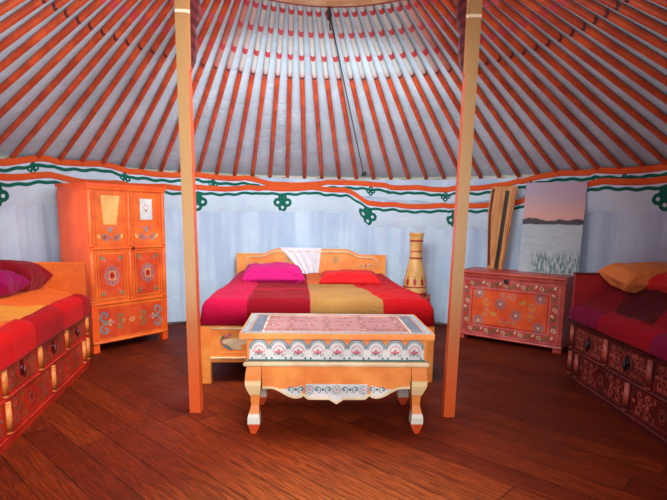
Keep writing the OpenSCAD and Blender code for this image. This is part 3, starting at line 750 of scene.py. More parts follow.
# %% Wall lining
def lining_fold(s, v):
    """Depth of the folds in metres at s metres along the wall, v from the foot 0 to the top 1."""
    bend = 1.6 * wander(s * 0.8, v * 0.6, seed=1)
    ripple = 0.5 + 0.5 * math.sin(2 * math.pi * s / 0.23 + 2.5 * bend)
    fine = 0.5 + 0.5 * math.sin(2 * math.pi * s / 0.085 + 5 * bend)
    strength = 0.5 + 0.5 * wander(s * 0.45, v * 0.3, seed=2)
    return (0.009 + 0.030 * (1 - v) ** 1.1) * (ripple**1.5 * (0.4 + strength) + 0.22 * fine)


def round_wall(r, clear=0.0):
    """First angle and span of the wall at radius r, from one jamb round to the other."""
    half = door_angle(r, clear)
    return -90 + half, 360 - 2 * half


def wall_lining():
    start, span = round_wall(WALL_R, 0.004)
    length = math.radians(span) * WALL_R
    low, high = DECK + 0.015, WALL_TOP - 0.01

    def rule(u, v):
        s = u * length
        edge = min(1.0, min(u, 1 - u) * length / 0.05)
        z = low + (high - low) * v + (1 - v) * 0.012 * (1 + wander(s * 2.0, seed=3)) * edge
        return polar(WALL_R + 0.003 - edge * lining_fold(s, v), start + span * u, z)

    made = piece(
        "hung_lining", *surface(rule, 1100, 12), CLOTH["lining"], "white_cloth", hides=["wall_lining"]
    )
    return length


print("lining", round(wall_lining(), 2), "m long")

# %% [markdown]
# ## The cloth over the poles
# Seen from inside, white cotton lies on ninety-six poles and sags a little between each pair. The sag follows
# the skewed poles, so the rule first asks where between two poles a point lies.


# %% Roof lining
def pole_phase(r, a):
    """0 on a pole and 0.5 half way to the next, at radius r and angle a in degrees."""
    foot, top, skew = 2.9916, 0.84, math.radians(POLE_SKEW)
    fx, fy, tx, ty = foot, 0.0, top * math.cos(skew), top * math.sin(skew)
    # share t of the pole at which it crosses radius r
    dx, dy = tx - fx, ty - fy
    qa, qb, qc = dx * dx + dy * dy, 2 * (fx * dx + fy * dy), fx * fx + fy * fy - r * r
    t = (-qb - math.sqrt(max(0.0, qb * qb - 4 * qa * qc))) / (2 * qa)
    lead = math.degrees(math.atan2(fy + dy * t, fx + dx * t))
    step = 360 / POLES
    return ((a - lead) / step - 0.5) % 1.0, lead


def roof_lining():
    low_r, high_r = COVER_R - 0.002, RING_R + 0.03
    rows = 16
    leads = [pole_phase(low_r + (high_r - low_r) * j / rows, 0)[1] for j in range(rows + 1)]
    per = 6

    def rule(u, v):
        r = low_r + (high_r - low_r) * v
        j = round(v * rows)
        a = u * 360 + leads[j] + 180 / POLES
        between = (u * POLES) % 1.0
        slack = 0.7 + 0.5 * wander(math.cos(u * 6.28) * 3, math.sin(u * 6.28) * 3, v * 2, seed=4)
        free = min(1, (1 - v) * 6) * min(1.0, 0.25 + v * 4) * (0.35 + 0.65 * (r / COVER_R))
        sag = 0.030 * slack * math.sin(math.pi * between) ** 1.2 * free
        return polar(r, a, over(r) + 0.004 - sag)

    made = piece(
        "roof_lining_cloth", *surface(rule, POLES * per, rows, round_u=True), CLOTH["roof"], "white_cloth",
        hides=["roof_lining"]
    )
    slope_l = math.hypot(low_r - high_r, over(high_r) - over(low_r))
    mean = math.pi * (low_r + high_r)
    return mean * slope_l


print("roof lining", round(roof_lining(), 1), "m2")

# %% [markdown]
# ## The two border bands
# Two long white bands with an orange edge, a green line and green knots hide the joint of wall and roof. They
# are tied at the poles and hang a little slack, so their edge waves. `band_point` is the surface of a band;
# the stripes, lines and knots are sewn-on strips laid on that same surface, which keeps them crisp and makes
# them real geometry.

# %% Flat strips on any surface
class Inlay:
    """Collects strips and shapes drawn in the flat, then lays them on a surface with a small thickness."""

    def __init__(self, name, surface_point, paints, step=0.05, lift=0.0006, rise=0.0004):
        self.name, self.at, self.paints = name, surface_point, list(paints)
        self.step, self.lift, self.rise = step, lift, rise
        self.points, self.faces, self.which = [], [], []

    def lay(self, flat, faces, paint_name, level):
        start = len(self.points)
        height = self.lift + self.rise * level
        self.points += [self.at(u, v, height) for u, v in flat]
        self.faces += [tuple(i + start for i in f) for f in faces]
        self.which += [self.paints.index(paint_name)] * len(faces)

    def line(self, path, width, paint_name, closed=False, level=1):
        """A strip of even width on a path of (u, v) points."""
        if closed:
            path = list(path) + [path[0]]
        fine = [path[0]]
        for (x0, y0), (x1, y1) in zip(path, path[1:]):
            n = max(1, math.ceil(math.hypot(x1 - x0, y1 - y0) / self.step))
            fine += [(x0 + (x1 - x0) * k / n, y0 + (y1 - y0) * k / n) for k in range(1, n + 1)]
        flat, last = [], len(fine) - 1
        for i, (x, y) in enumerate(fine):
            before = fine[i - 1] if i else (fine[last - 1] if closed else fine[0])
            after = fine[i + 1] if i < last else (fine[1] if closed else fine[last])
            dx, dy = after[0] - before[0], after[1] - before[1]
            size = math.hypot(dx, dy) or 1.0
            nx, ny = -dy / size * width / 2, dx / size * width / 2
            flat += [(x + nx, y + ny), (x - nx, y - ny)]
        self.lay(flat, [(2 * i + 1, 2 * i + 3, 2 * i + 2, 2 * i) for i in range(last)], paint_name, level)

    def shape(self, outline, paint_name, level=1):
        """A filled shape, fanned from its middle, so it should be roughly round or star-like."""
        n = len(outline)
        middle = (sum(p[0] for p in outline) / n, sum(p[1] for p in outline) / n)
        turn = sum(a[0] * b[1] - b[0] * a[1] for a, b in zip(outline, outline[1:] + outline[:1]))
        faces = [(n, i, (i + 1) % n) if turn > 0 else (n, (i + 1) % n, i) for i in range(n)]
        self.lay(list(outline) + [middle], faces, paint_name, level)

    def rect(self, x0, y0, x1, y1, paint_name, level=1):
        """A filled rectangle, cut into cells so that it can bend."""
        nu = max(1, math.ceil((x1 - x0) / self.step))
        nv = max(1, math.ceil((y1 - y0) / self.step))
        flat = [
            (x0 + (x1 - x0) * i / nu, y0 + (y1 - y0) * j / nv) for j in range(nv + 1) for i in range(nu + 1)
        ]
        w = nu + 1
        faces = [
            (j * w + i, j * w + i + 1, (j + 1) * w + i + 1, (j + 1) * w + i) for j in range(nv)
            for i in range(nu)
        ]
        self.lay(flat, faces, paint_name, level)

    def done(self, slot, thickness=0.0012, pots=POT):
        made = piece(
            self.name, self.points, self.faces, [pots[n] for n in self.paints], slot, self.which, smooth=False
        )
        thicken(made, thickness)
        return made


def circle(x, y, r, n=20, squash=1.0, start=0.0):
    angles = [2 * math.pi * k / n + start for k in range(n)]
    return [(x + r * math.cos(a), y + r * squash * math.sin(a)) for a in angles]


# %% [markdown]
# ## A pattern book
# Knots, rosettes and scrolls come back on the borders, the beds, the wardrobe, the chest and the table. These
# functions draw them at any size. They are common steppe ornament, drawn from circles and spirals.


# %% Pattern book
def knot(ink, x, y, size, main, level=2):
    """A knot of four loops round a square, hung from a short stem."""
    for k in range(4):
        a = math.pi / 2 * k
        px, py = x + 0.52 * size * math.cos(a), y + 0.52 * size * math.sin(a)
        ink.line(circle(px, py, 0.33 * size, 12), 0.32 * size, main, True, level)
    ink.shape(circle(x, y, 0.36 * size, 4, start=math.pi / 4), main, level)


def spiral(ink, x, y, size, main, width, turns=1.35, start=0.0, hand=1, level=1):
    path = []
    for k in range(19):
        t = k / 18
        r = size * (0.16 + 0.84 * t)
        a = start + hand * 2 * math.pi * turns * t
        path.append((x + r * math.cos(a), y + r * math.sin(a)))
    ink.line(path, width, main, level=level)


def rosette(ink, x, y, size, petals="steel", heart="red", rim="cream", tall=1.25, level=1):
    """An oval flower: loops round a red heart."""
    for k in range(8):
        a = math.pi / 4 * k
        px, py = x + 0.66 * size * math.cos(a), y + 0.66 * size * tall * math.sin(a)
        ink.line(circle(px, py, 0.24 * size, 10), 0.11 * size, petals, True, level)
    ink.line(circle(x, y, 0.38 * size, 16, tall), 0.09 * size, rim, True, level)
    ink.shape(circle(x, y, 0.22 * size, 12, tall), heart, level + 1)
    for k in range(4):
        a = math.pi / 4 + math.pi / 2 * k
        px, py = x + 0.5 * size * math.cos(a), y + 0.5 * size * tall * math.sin(a)
        ink.shape(circle(px, py, 0.07 * size, 6), rim, level + 1)


def horn(ink, x, y, size, main="steel", second="cream", hand=1, up=1, level=1):
    """A ram's horn scroll, half of the C-shaped ornament."""
    spiral(
        ink, x, y + 0.42 * size * up, 0.38 * size, main, 0.13 * size, 1.1, -math.pi / 2 * up, hand * up, level
    )
    path = [
        (x + hand * 0.38 * size * math.sin(t), y + 0.08 * size * up - 0.45 * size * up * (1 - math.cos(t)))
        for t in [0.15 * k for k in range(9)]
    ]
    ink.line(path, 0.11 * size, second, level=level)


def double_scroll(ink, x, y, size, main="steel", second="cream", upright=True, level=1):
    """Two spirals joined back to back by a stem: the common band ornament."""
    for s in (-1, 1):
        cx, cy = (x, y + s * 0.5 * size) if upright else (x + s * 0.5 * size, y)
        start = -s * math.pi / 2 if upright else math.pi / 2 * (1 - s) + math.pi
        spiral(ink, cx, cy, 0.34 * size, main, 0.10 * size, 1.2, start, s, level)
        spiral(ink, cx, cy, 0.16 * size, second, 0.07 * size, 0.8, start, s, level + 1)
    ink.shape(circle(x, y, 0.13 * size, 8), second, level + 1)


def leaf(ink, x, y, size, angle, main, level=1, slim=0.3):
    """A pointed leaf from x, y towards angle."""
    a = math.radians(angle)
    outline = []
    for k in range(12):
        t = k / 12 * 2 * math.pi
        along = size * (0.5 - 0.5 * math.cos(t))
        wide = size * slim * math.sin(t) * (0.5 + 0.5 * math.sin(t / 2))
        outline.append(
            (x + along * math.cos(a) - wide * math.sin(a), y + along * math.sin(a) + wide * math.cos(a))
        )
    ink.shape(outline, main, level)


print("pattern book: knot, spiral, rosette, horn, double scroll, leaf")


# %% Border bands
# (azimuth in degrees, extra drop in metres): where a band was tied too high or has slipped
UPPER_SLIP = [
    (0, -0.02), (30, -0.025), (45, -0.02), (53, 0.06), (60, 0.09), (70, 0.095), (86, 0.025), (101, 0.085),
    (108, 0.025), (119, 0.01), (130, 0.02), (136, -0.02), (148, -0.03), (156, 0.03), (180, 0.0)
]
LOWER_SLIP = [
    (0, -0.075), (36, -0.075), (44, 0.0), (52, 0.10), (60, 0.125), (72, 0.135), (81, 0.11), (87, -0.04),
    (96, -0.045), (106, -0.03), (114, -0.01), (125, 0.01), (140, -0.01), (148, -0.04), (156, 0.0),
    (180, -0.02)
]


def eased(pairs, x):
    """Smooth value at x between given pairs."""
    for (x0, y0), (x1, y1) in zip(pairs, pairs[1:]):
        if x0 <= x <= x1:
            return y0 + (y1 - y0) * smooth((x - x0) / (x1 - x0))
    return pairs[0][1]


def band_point(radius, top, seed, slip):
    """Surface of a border band: s metres along the wall, v metres down from its top edge."""
    start, _ = round_wall(radius, 0.004)

    def at(s, v, lift=0.0):
        a = start + math.degrees(s / radius)
        tie = 0.62 + 0.16 * wander(round(s / 0.7) * 1.7, seed=seed)
        slack = abs(math.sin(math.pi * s / tie)) ** 0.8
        drop = 0.020 * slack + 0.014 * wander(s * 0.5, seed=seed + 1) + 0.014 * wander(s * 2.3, seed=seed + 2)
        drop += eased(slip, a)
        swell = (
            0.006 * wander(s * 3.0, v * 6.0, seed=seed + 3)
            - 0.005 * (1 - math.cos(v * 9)) * wander(s * 1.2, seed=seed + 4)
        )
        tuck = 0.030 * max(0.0, (v - 0.17) / 0.11) ** 1.5
        return polar(radius - 0.004 + swell + tuck - lift, a, top - drop - v)

    return at


def border(name, hides, radius, top, depth, seed, knots, slip):
    length = math.radians(round_wall(radius, 0.004)[1]) * radius
    at = band_point(radius, top, seed, slip)
    made = piece(
        name, *surface(lambda u, v: at(u * length, depth * (1 - v)), 620, 8), CLOTH["band"], "white_cloth",
        hides=hides
    )
    ink = Inlay(name + "_pattern", at, ["orange", "green", "red"], step=0.04, lift=0.0012, rise=0.0006)
    # laid from the right of the room to the left, so that the strips face inwards
    ink.line([(length, 0.024), (0, 0.024)], 0.050, "orange", level=0)
    ink.line([(length, 0.051), (0, 0.051)], 0.006, "red", level=1)
    wave = [(length * (1 - k / 720), 0.086 + 0.006 * math.sin(k * 0.9)) for k in range(721)]
    ink.line(wave, 0.029, "green", level=0)
    spacing, low, size = knots
    count = int(length / spacing)
    for k in range(count):
        s = (k + 0.5 + 0.12 * wander(k * 3.3, seed=seed)) * length / count
        knot_down(ink, s, low, size)
    strips = ink.done("white_cloth", 0.0015, CLOTH)
    return length


def knot_down(ink, s, low, size):
    ink.line([(s, 0.086), (s, low)], 0.3 * size, "green", level=1)
    knot(ink, s, low, size, "green", level=1)


UPPER = (
    "upper_band", ["upper_border"], WALL_R - 0.018, WALL_TOP + 0.024, 0.168, 11, (0.86, 0.104, 0.052),
    UPPER_SLIP
)
LOWER = (
    "lower_band", ["lower_border"], WALL_R - 0.030, WALL_TOP - 0.12, 0.285, 21, (0.93, 0.176, 0.102),
    LOWER_SLIP
)
print("upper band", round(border(*UPPER), 2), "m, lower band", round(border(*LOWER), 2), "m")

# %% [markdown]
# ## Furniture fronts
# A front is a flat face of a CAD solid, so ornament is drawn on it in the piece's own metres, x along the
# front and y up from its foot. Mouldings and half-round posts are solid pieces; flowers and scrolls are thin
# raised paint.


# %% Fronts, mouldings and half posts
def front_of(place, y=0.0):
    """Surface of the front face at depth y of a placed piece: (x, height, lift) to a point in the frame."""
    matrix = PLACE[place]
    return lambda x, z, lift=0.0: matrix @ Vector((x, y - lift, z))


def top_of(place, z):
    matrix = PLACE[place]
    return lambda x, y, lift=0.0: matrix @ Vector((x, y, z + lift))


HALF_POST = [
    (0.0, 0.0), (0.014, 0.0), (0.016, 0.008), (0.012, 0.016), (0.015, 0.05), (0.0165, 0.5), (0.015, 0.95),
    (0.012, 0.984), (0.016, 0.992), (0.014, 1.0), (0.0, 1.0)
]


def half_post(place, x, z, height, depth=0.0, wide=1.0):
    """A turned half-round post against a front."""
    profile = [
        (r * wide, z + (s * height if 0.02 < s < 0.98 else (s if s < 0.5 else height + s - 1)))
        for r, s in HALF_POST
    ]
    return lathe(profile, 14, at=(x, depth, 0), matrix=PLACE[place])


def moulding(place, x0, x1, z, profile, depth=0.0):
    """A strip along a front; profile is [(how far it stands out, height over z)]."""
    matrix = PLACE[place]
    ends = [[matrix @ Vector((x, depth - out, z + up)) for out, up in profile] for x in (x0, x1)]
    return ends[0] + ends[1], ring_faces(2, len(profile))


def facing(place, x, y, z):
    """The place of a turned piece that stands out of a front."""
    return PLACE[place] @ move(x, y, z) @ spin("X", 90)


def knob(place, x, z, r, reach=0.026):
    profile = [
        (0.0, 0.0), (r * 0.8, 0.0), (r * 0.45, 0.25 * reach), (r * 0.5, 0.45 * reach), (r, 0.7 * reach),
        (r * 0.85, 0.93 * reach), (0.0, reach)
    ]
    return lathe(profile, 16, matrix=facing(place, x, 0.0, z))


COVE = [
    (0.0, 0.0), (0.004, 0.0), (0.010, 0.006), (0.011, 0.012), (0.006, 0.020), (0.005, 0.026), (0.0, 0.026)
]
BEAD = [(0.0, 0.0), (0.004, 0.001), (0.007, 0.005), (0.007, 0.009), (0.004, 0.013), (0.0, 0.014)]


def frame_line(ink, x0, z0, x1, z1, width, main, level=1):
    ink.line([(x0, z0), (x1, z0), (x1, z1), (x0, z1)], width, main, True, level)


def corner_pieces(ink, x0, z0, x1, z1, size, main="cream", dot="steel"):
    for x, hx in ((x0, 1), (x1, -1)):
        for z, hz in ((z0, 1), (z1, -1)):
            leaf(ink, x, z, size, math.degrees(math.atan2(hz * 0.6, hx)), main)
            leaf(ink, x, z, size, math.degrees(math.atan2(hz, hx * 0.6)), main)
            ink.shape(circle(x + hx * size * 0.9, z + hz * size * 0.9, size * 0.2, 8), dot, 2)


# %% [markdown]
# ## The wardrobe
# Two pairs of doors over a drawer, between half-round ochre posts, under a plain cornice. The upper doors
# carry tapered ochre panels with a small hanging ornament, the lower ones an oval rosette, and the drawer a
# scroll at each end.


# %% Wardrobe
ROBE_W, ROBE_H = 0.726, 1.41
DRAWER_Z, LOWER_Z, UPPER_Z, CORNICE_Z = 0.09, 0.42, 0.885, 1.364


def robe_door(ink, side, mid):
    """An upper door with its sheet of paper and hanging ornament, and the lower one with its rosette."""
    lean = 0.010 * side
    if side < 0:
        top = [(mid + 0.085 - lean, 1.315), (mid + 0.058, 1.075), (mid - 0.058, 1.075)]
        ink.shape(top + [(mid - 0.085 - lean, 1.315)], "tan", 1)
    else:
        ink.rect(mid - 0.058, 1.118, mid + 0.064, 1.300, "white", 1)
        ink.line(circle(mid + 0.002, 1.222, 0.020, 16, 1.3), 0.005, "pink", True, 2)
        leaf(ink, mid + 0.002, 1.180, 0.030, 90, "pink", 2)
    frame_line(ink, mid - 0.128, UPPER_Z + 0.02, mid + 0.128, CORNICE_Z - 0.012, 0.005, "vermilion")
    ink.line([(mid - 0.066, 1.060), (mid, 1.043), (mid + 0.066, 1.060)], 0.010, "pink")
    leaf(ink, mid, 1.056, 0.050, -90, "steel", 2)
    for s in (-1, 1):
        spiral(ink, mid + s * 0.052, 0.968, 0.034, "steel", 0.010, 1.2, 0, s)
        leaf(ink, mid + s * 0.092, 0.955, 0.045, 90 - s * 25, "tan", 1)
        ink.shape(circle(mid + s * 0.052, 0.968, 0.010, 8), "red", 2)
    ink.shape(circle(mid, 0.966, 0.013, 10), "pink", 2)
    frame_line(ink, mid - 0.128, LOWER_Z + 0.02, mid + 0.128, UPPER_Z - 0.036, 0.005, "brick")
    ink.rect(mid - 0.112, LOWER_Z + 0.042, mid + 0.112, UPPER_Z - 0.058, "vermilion", 0)
    rosette(ink, mid, (LOWER_Z + UPPER_Z) / 2 - 0.008, 0.076, "steel", "red", "tan", tall=1.3, level=1)
    corner_pieces(ink, mid - 0.100, LOWER_Z + 0.056, mid + 0.100, UPPER_Z - 0.072, 0.040, "sage", "steel")


def robe_drawer(ink):
    """Horns at both ends of the drawer and beside the rosette in its middle."""
    ink.rect(0.060, DRAWER_Z + 0.025, ROBE_W - 0.060, LOWER_Z - 0.045, "vermilion", 0)
    level = (DRAWER_Z + LOWER_Z) / 2 - 0.010
    for s, x in ((1, 0.112), (-1, ROBE_W - 0.112)):
        for up in (1, -1):
            horn(ink, x, level, 0.140, "steel", "tan", s, up)
        leaf(ink, x + s * 0.03, level, 0.06, 0 if s > 0 else 180, "pink", 2)
    for s in (-1, 1):
        for up in (1, -1):
            horn(ink, ROBE_W / 2 + s * 0.105, level, 0.10, "sage", "ochre", -s, up)
    rosette(ink, ROBE_W / 2, level, 0.030, "tan", "pink", "pink", 0.8)


def wardrobe():
    w = ROBE_W
    across = (0.021, w / 2, w - 0.021)
    posts = [half_post("robe", x, LOWER_Z + 0.005, UPPER_Z - LOWER_Z - 0.03) for x in across]
    posts += [half_post("robe", x, UPPER_Z + 0.01, CORNICE_Z - UPPER_Z - 0.02) for x in across]
    soften(piece("wardrobe_posts", *gather(posts), POT["orange"], "ochre_wood"), 0.001)
    rails = [moulding("robe", 0, w, z, BEAD) for z in (DRAWER_Z - 0.016, LOWER_Z - 0.018, UPPER_Z - 0.018)]
    rails.append(moulding("robe", -0.006, w + 0.006, ROBE_H - 0.052, COVE))
    rails.append(moulding("robe", 0, w, 0.072, COVE))
    piece("wardrobe_mouldings", *gather(rails), POT["orange"], "red_wood", smooth=False)
    piece("wardrobe_knobs", *knob("robe", w / 2 + 0.028, UPPER_Z - 0.012, 0.013), POT["black"], "red_wood")
    tones = ["tan", "white", "ochre", "cream", "steel", "red", "pink", "brick", "sage", "vermilion"]
    ink = Inlay("wardrobe_painting", front_of("robe", 0.001), tones)
    for side, mid in ((-1, 0.192), (1, w - 0.192)):
        robe_door(ink, side, mid)
    robe_drawer(ink)
    ink.done("red_wood")


wardrobe()
print("wardrobe dressed")

# %% [markdown]
# ## The side beds
# Each side bed is a hollow base with two rows of painted drawer fronts. The upper row has wide fronts with a
# dark drop handle, the lower row is set off like brickwork, and ochre half-round posts stand between them.

# %% Side bed bases
SIDE_L = 1.9
ROW_Z, ROW_H = (0.06, 0.255), 0.173
UPPER_X = [0.022 + i * (SIDE_L - 0.044) / 4 for i in range(5)]
LOWER_X = [0.022, 0.065 * SIDE_L, 0.4 * SIDE_L, 0.735 * SIDE_L, SIDE_L - 0.022]

GRIP_ROSE = [(0, -0.006), (0.013, -0.006), (0.016, 0), (0.008, 0.006), (0, 0.008)]


def side_bed(place, name, tones):
    """tones names the paint of each kind of mark, because the right bed is in darker colours than the
    left."""
    rows = [(x0, x1, z) for xs, z in ((LOWER_X, ROW_Z[0]), (UPPER_X, ROW_Z[1])) for x0, x1 in zip(xs, xs[1:])]
    posts = [
        half_post(place, x, z + 0.002, ROW_H - 0.004, 0.0, 1.15)
        for xs, z in ((LOWER_X, ROW_Z[0]), (UPPER_X, ROW_Z[1])) for x in xs
    ]
    piece(name + "_posts", *gather(posts), POT[tones["post"]], "ochre_wood")
    rails = [moulding(place, 0, SIDE_L, z, BEAD) for z in (0.036, 0.236, 0.440)]
    piece(name + "_mouldings", *gather(rails), POT[tones["rail"]], "red_wood", smooth=False)
    pots = sorted(set(tones.values()))
    flat = Inlay(name + "_painting", front_of(place, 0.0), pots)
    # the drawer fronts are sunk 8 mm, so their paint lies deeper
    deep = 0.008
    sunk = Inlay(name + "_panels", front_of(place, deep), pots)
    grips = []
    for x0, x1, z in rows:
        x, middle, half = (x0 + x1) / 2, z + ROW_H / 2, (x1 - x0) / 2 - 0.03
        if x1 - x0 < 0.15:
            flat.rect(x0 + 0.03, z + 0.02, x1 - 0.03, z + ROW_H - 0.02, tones["field"], 0)
            continue
        sunk.rect(x0 + 0.034, z + 0.012, x1 - 0.034, z + ROW_H - 0.012, tones["field"], 0)
        frame_line(sunk, x0 + 0.036, z + 0.014, x1 - 0.036, z + ROW_H - 0.014, 0.004, tones["line"])
        for s in (-1, 1):
            double_scroll(sunk, x + s * half * 0.72, middle, 0.104, tones["scroll"], tones["tip"])
            double_scroll(sunk, x + s * half * 0.44, middle, 0.104, tones["small"], tones["tip"])
            double_scroll(
                sunk, x + s * half * 0.58, middle, 0.056, tones["scroll"], tones["bud"], upright=False
            )
            leaf(sunk, x + s * (half - 0.006), middle, 0.038, 90 + s * 90, tones["bud"], 2)
            for up in (-1, 1):
                leaf(sunk, x + s * half * 0.24, middle + up * 0.035, 0.036, up * 90, tones["small"], 1)
        if z < 0.1:
            rosette(sunk, x, middle, 0.040, tones["scroll"], tones["eye"], tones["tip"])
            continue
        sunk.line(circle(x, middle, 0.040, 20, 1.5), 0.007, tones["scroll"], True, 1)
        sunk.shape(circle(x, middle, 0.030, 16, 1.5), tones["eye"], 1)
        grips.append(lathe(GRIP_ROSE, 14, matrix=facing(place, x, deep - 0.002, middle)))
        drop = [
            PLACE[place] @ Vector(
                (x, deep - 0.014 - 0.003 * math.sin(k * math.pi / 8), middle + 0.012 - 0.062 * k / 8)
            )
            for k in range(9)
        ]
        grips.append(sweep(drop, lambda t: 0.005 + 0.006 * math.sin(math.pi * min(1.0, t * 1.02)) ** 2, 10))
    flat.done("red_wood")
    sunk.done("red_wood")
    piece(name + "_handles", *gather(grips), POT[tones["grip"]], "red_wood")
    top_line = [(-0.82, 0.0), (0.004, 0.0), (0.007, 0.006), (0.004, 0.012), (-0.82, 0.012)]
    cap = moulding(place, -0.034, 0.004, 0.79, top_line)
    piece(name + "_board_cap", *cap, POT[tones["cap"]], "red_wood", smooth=False)


BRIGHT = {
    "post": "gold", "rail": "russet", "field": "russet", "line": "moss", "scroll": "ash", "tip": "moss",
    "small": "moss", "bud": "ash", "eye": "maroon", "grip": "maroon", "cap": "orange"
}
DARK = {
    "post": "rust", "rail": "maroon", "field": "maroon", "line": "dusky", "scroll": "dusky", "tip": "rust",
    "small": "dusky", "bud": "rust", "eye": "black", "grip": "black", "cap": "maroon"
}
side_bed("left", "left_bed", BRIGHT)
side_bed("right", "right_bed", DARK)
print("side beds dressed")

# %% [markdown]
# ## The back bed
# A raised footboard and headboard in orange, each with a thin cream moulding, and a leaf painted at both ends
# of the footboard. The headboard's moulding follows its raised middle.


# %% Back bed
def back_bed():
    w, length = 1.64, 2.18
    rails = [
        moulding("bed", 0.066, w - 0.066, 0.386, BEAD, 0.010),
        moulding("bed", 0.066, w - 0.066, 0.176, BEAD, 0.002)
    ]
    piece("bed_foot_mouldings", *gather(rails), POT["cream"], "ochre_wood", smooth=False)
    ink = Inlay(
        "bed_foot_painting", front_of("bed", 0.018),
        ["cream", "ochre", "pink", "steel", "red", "green", "orange"]
    )
    fan = (
        (0, 0.19, "cream"), (18, 0.16, "ochre"), (-18, 0.16, "cream"), (36, 0.10, "pink"),
        (-36, 0.10, "steel"), (58, 0.06, "green"), (-58, 0.06, "ochre")
    )
    for s, x in ((1, 0.13), (-1, w - 0.13)):
        for tilt, size, tone in fan:
            leaf(ink, x, 0.295, size, tilt if s > 0 else 180 - tilt, tone, 1 + (tilt == 0), 0.16)
        for up in (-1, 1):
            spiral(ink, x + s * 0.22, 0.295 + up * 0.030, 0.028, "steel", 0.008, 1.2, 0, s * up)
        ink.shape(circle(x + s * 0.010, 0.295, 0.012, 12), "pink", 3)
    rosette(ink, w / 2, 0.295, 0.045, "green", "red", "cream")
    for s in (-1, 1):
        double_scroll(ink, w / 2 + s * 0.13, 0.295, 0.10, "cream", "ochre")
    ink.done("red_wood")
    # the headboard's moulding: a level middle, an easy fall to each wing and a curl down beside the post
    half = [(0.0, 0.790), (0.361, 0.790)]
    half += [(0.361 + 0.197 * k / 8, 0.760 + 0.030 * math.cos(math.pi * k / 8)) for k in range(1, 9)]
    half += [(0.665, 0.728), (0.700, 0.716), (0.718, 0.690), (0.722, 0.650), (0.708, 0.615)]
    line = [(w / 2 - x, z) for x, z in half[::-1]] + [(w / 2 + x, z) for x, z in half[1:]]
    depth = length - 0.048
    bead = [PLACE["bed"] @ Vector((x, depth - 0.003, z)) for x, z in line]
    piece("headboard_moulding", *sweep(bead, 0.0075, 8), POT["cream"], "ochre_wood")
    head = Inlay(
        "bed_head_painting", front_of("bed", depth),
        ["cream", "ochre", "red", "pink", "steel", "orange", "green"]
    )
    head.line([(x, z - 0.020) for x, z in line[3:-3]], 0.005, "orange", level=2)
    for s in (-1, 1):
        double_scroll(head, w / 2 + s * 0.60, 0.635, 0.10, "cream", "orange", upright=False)
        rosette(head, w / 2 + s * 0.26, 0.700, 0.036, "green", "red", "cream")
    head.done("red_wood")


back_bed()
print("back bed dressed")

# %% [markdown]
# ## The chest
# A band of scrolls on pink runs round an orange field with six blue-grey rosettes. The lid has a thin dark
# line under it and a hasp in the middle.


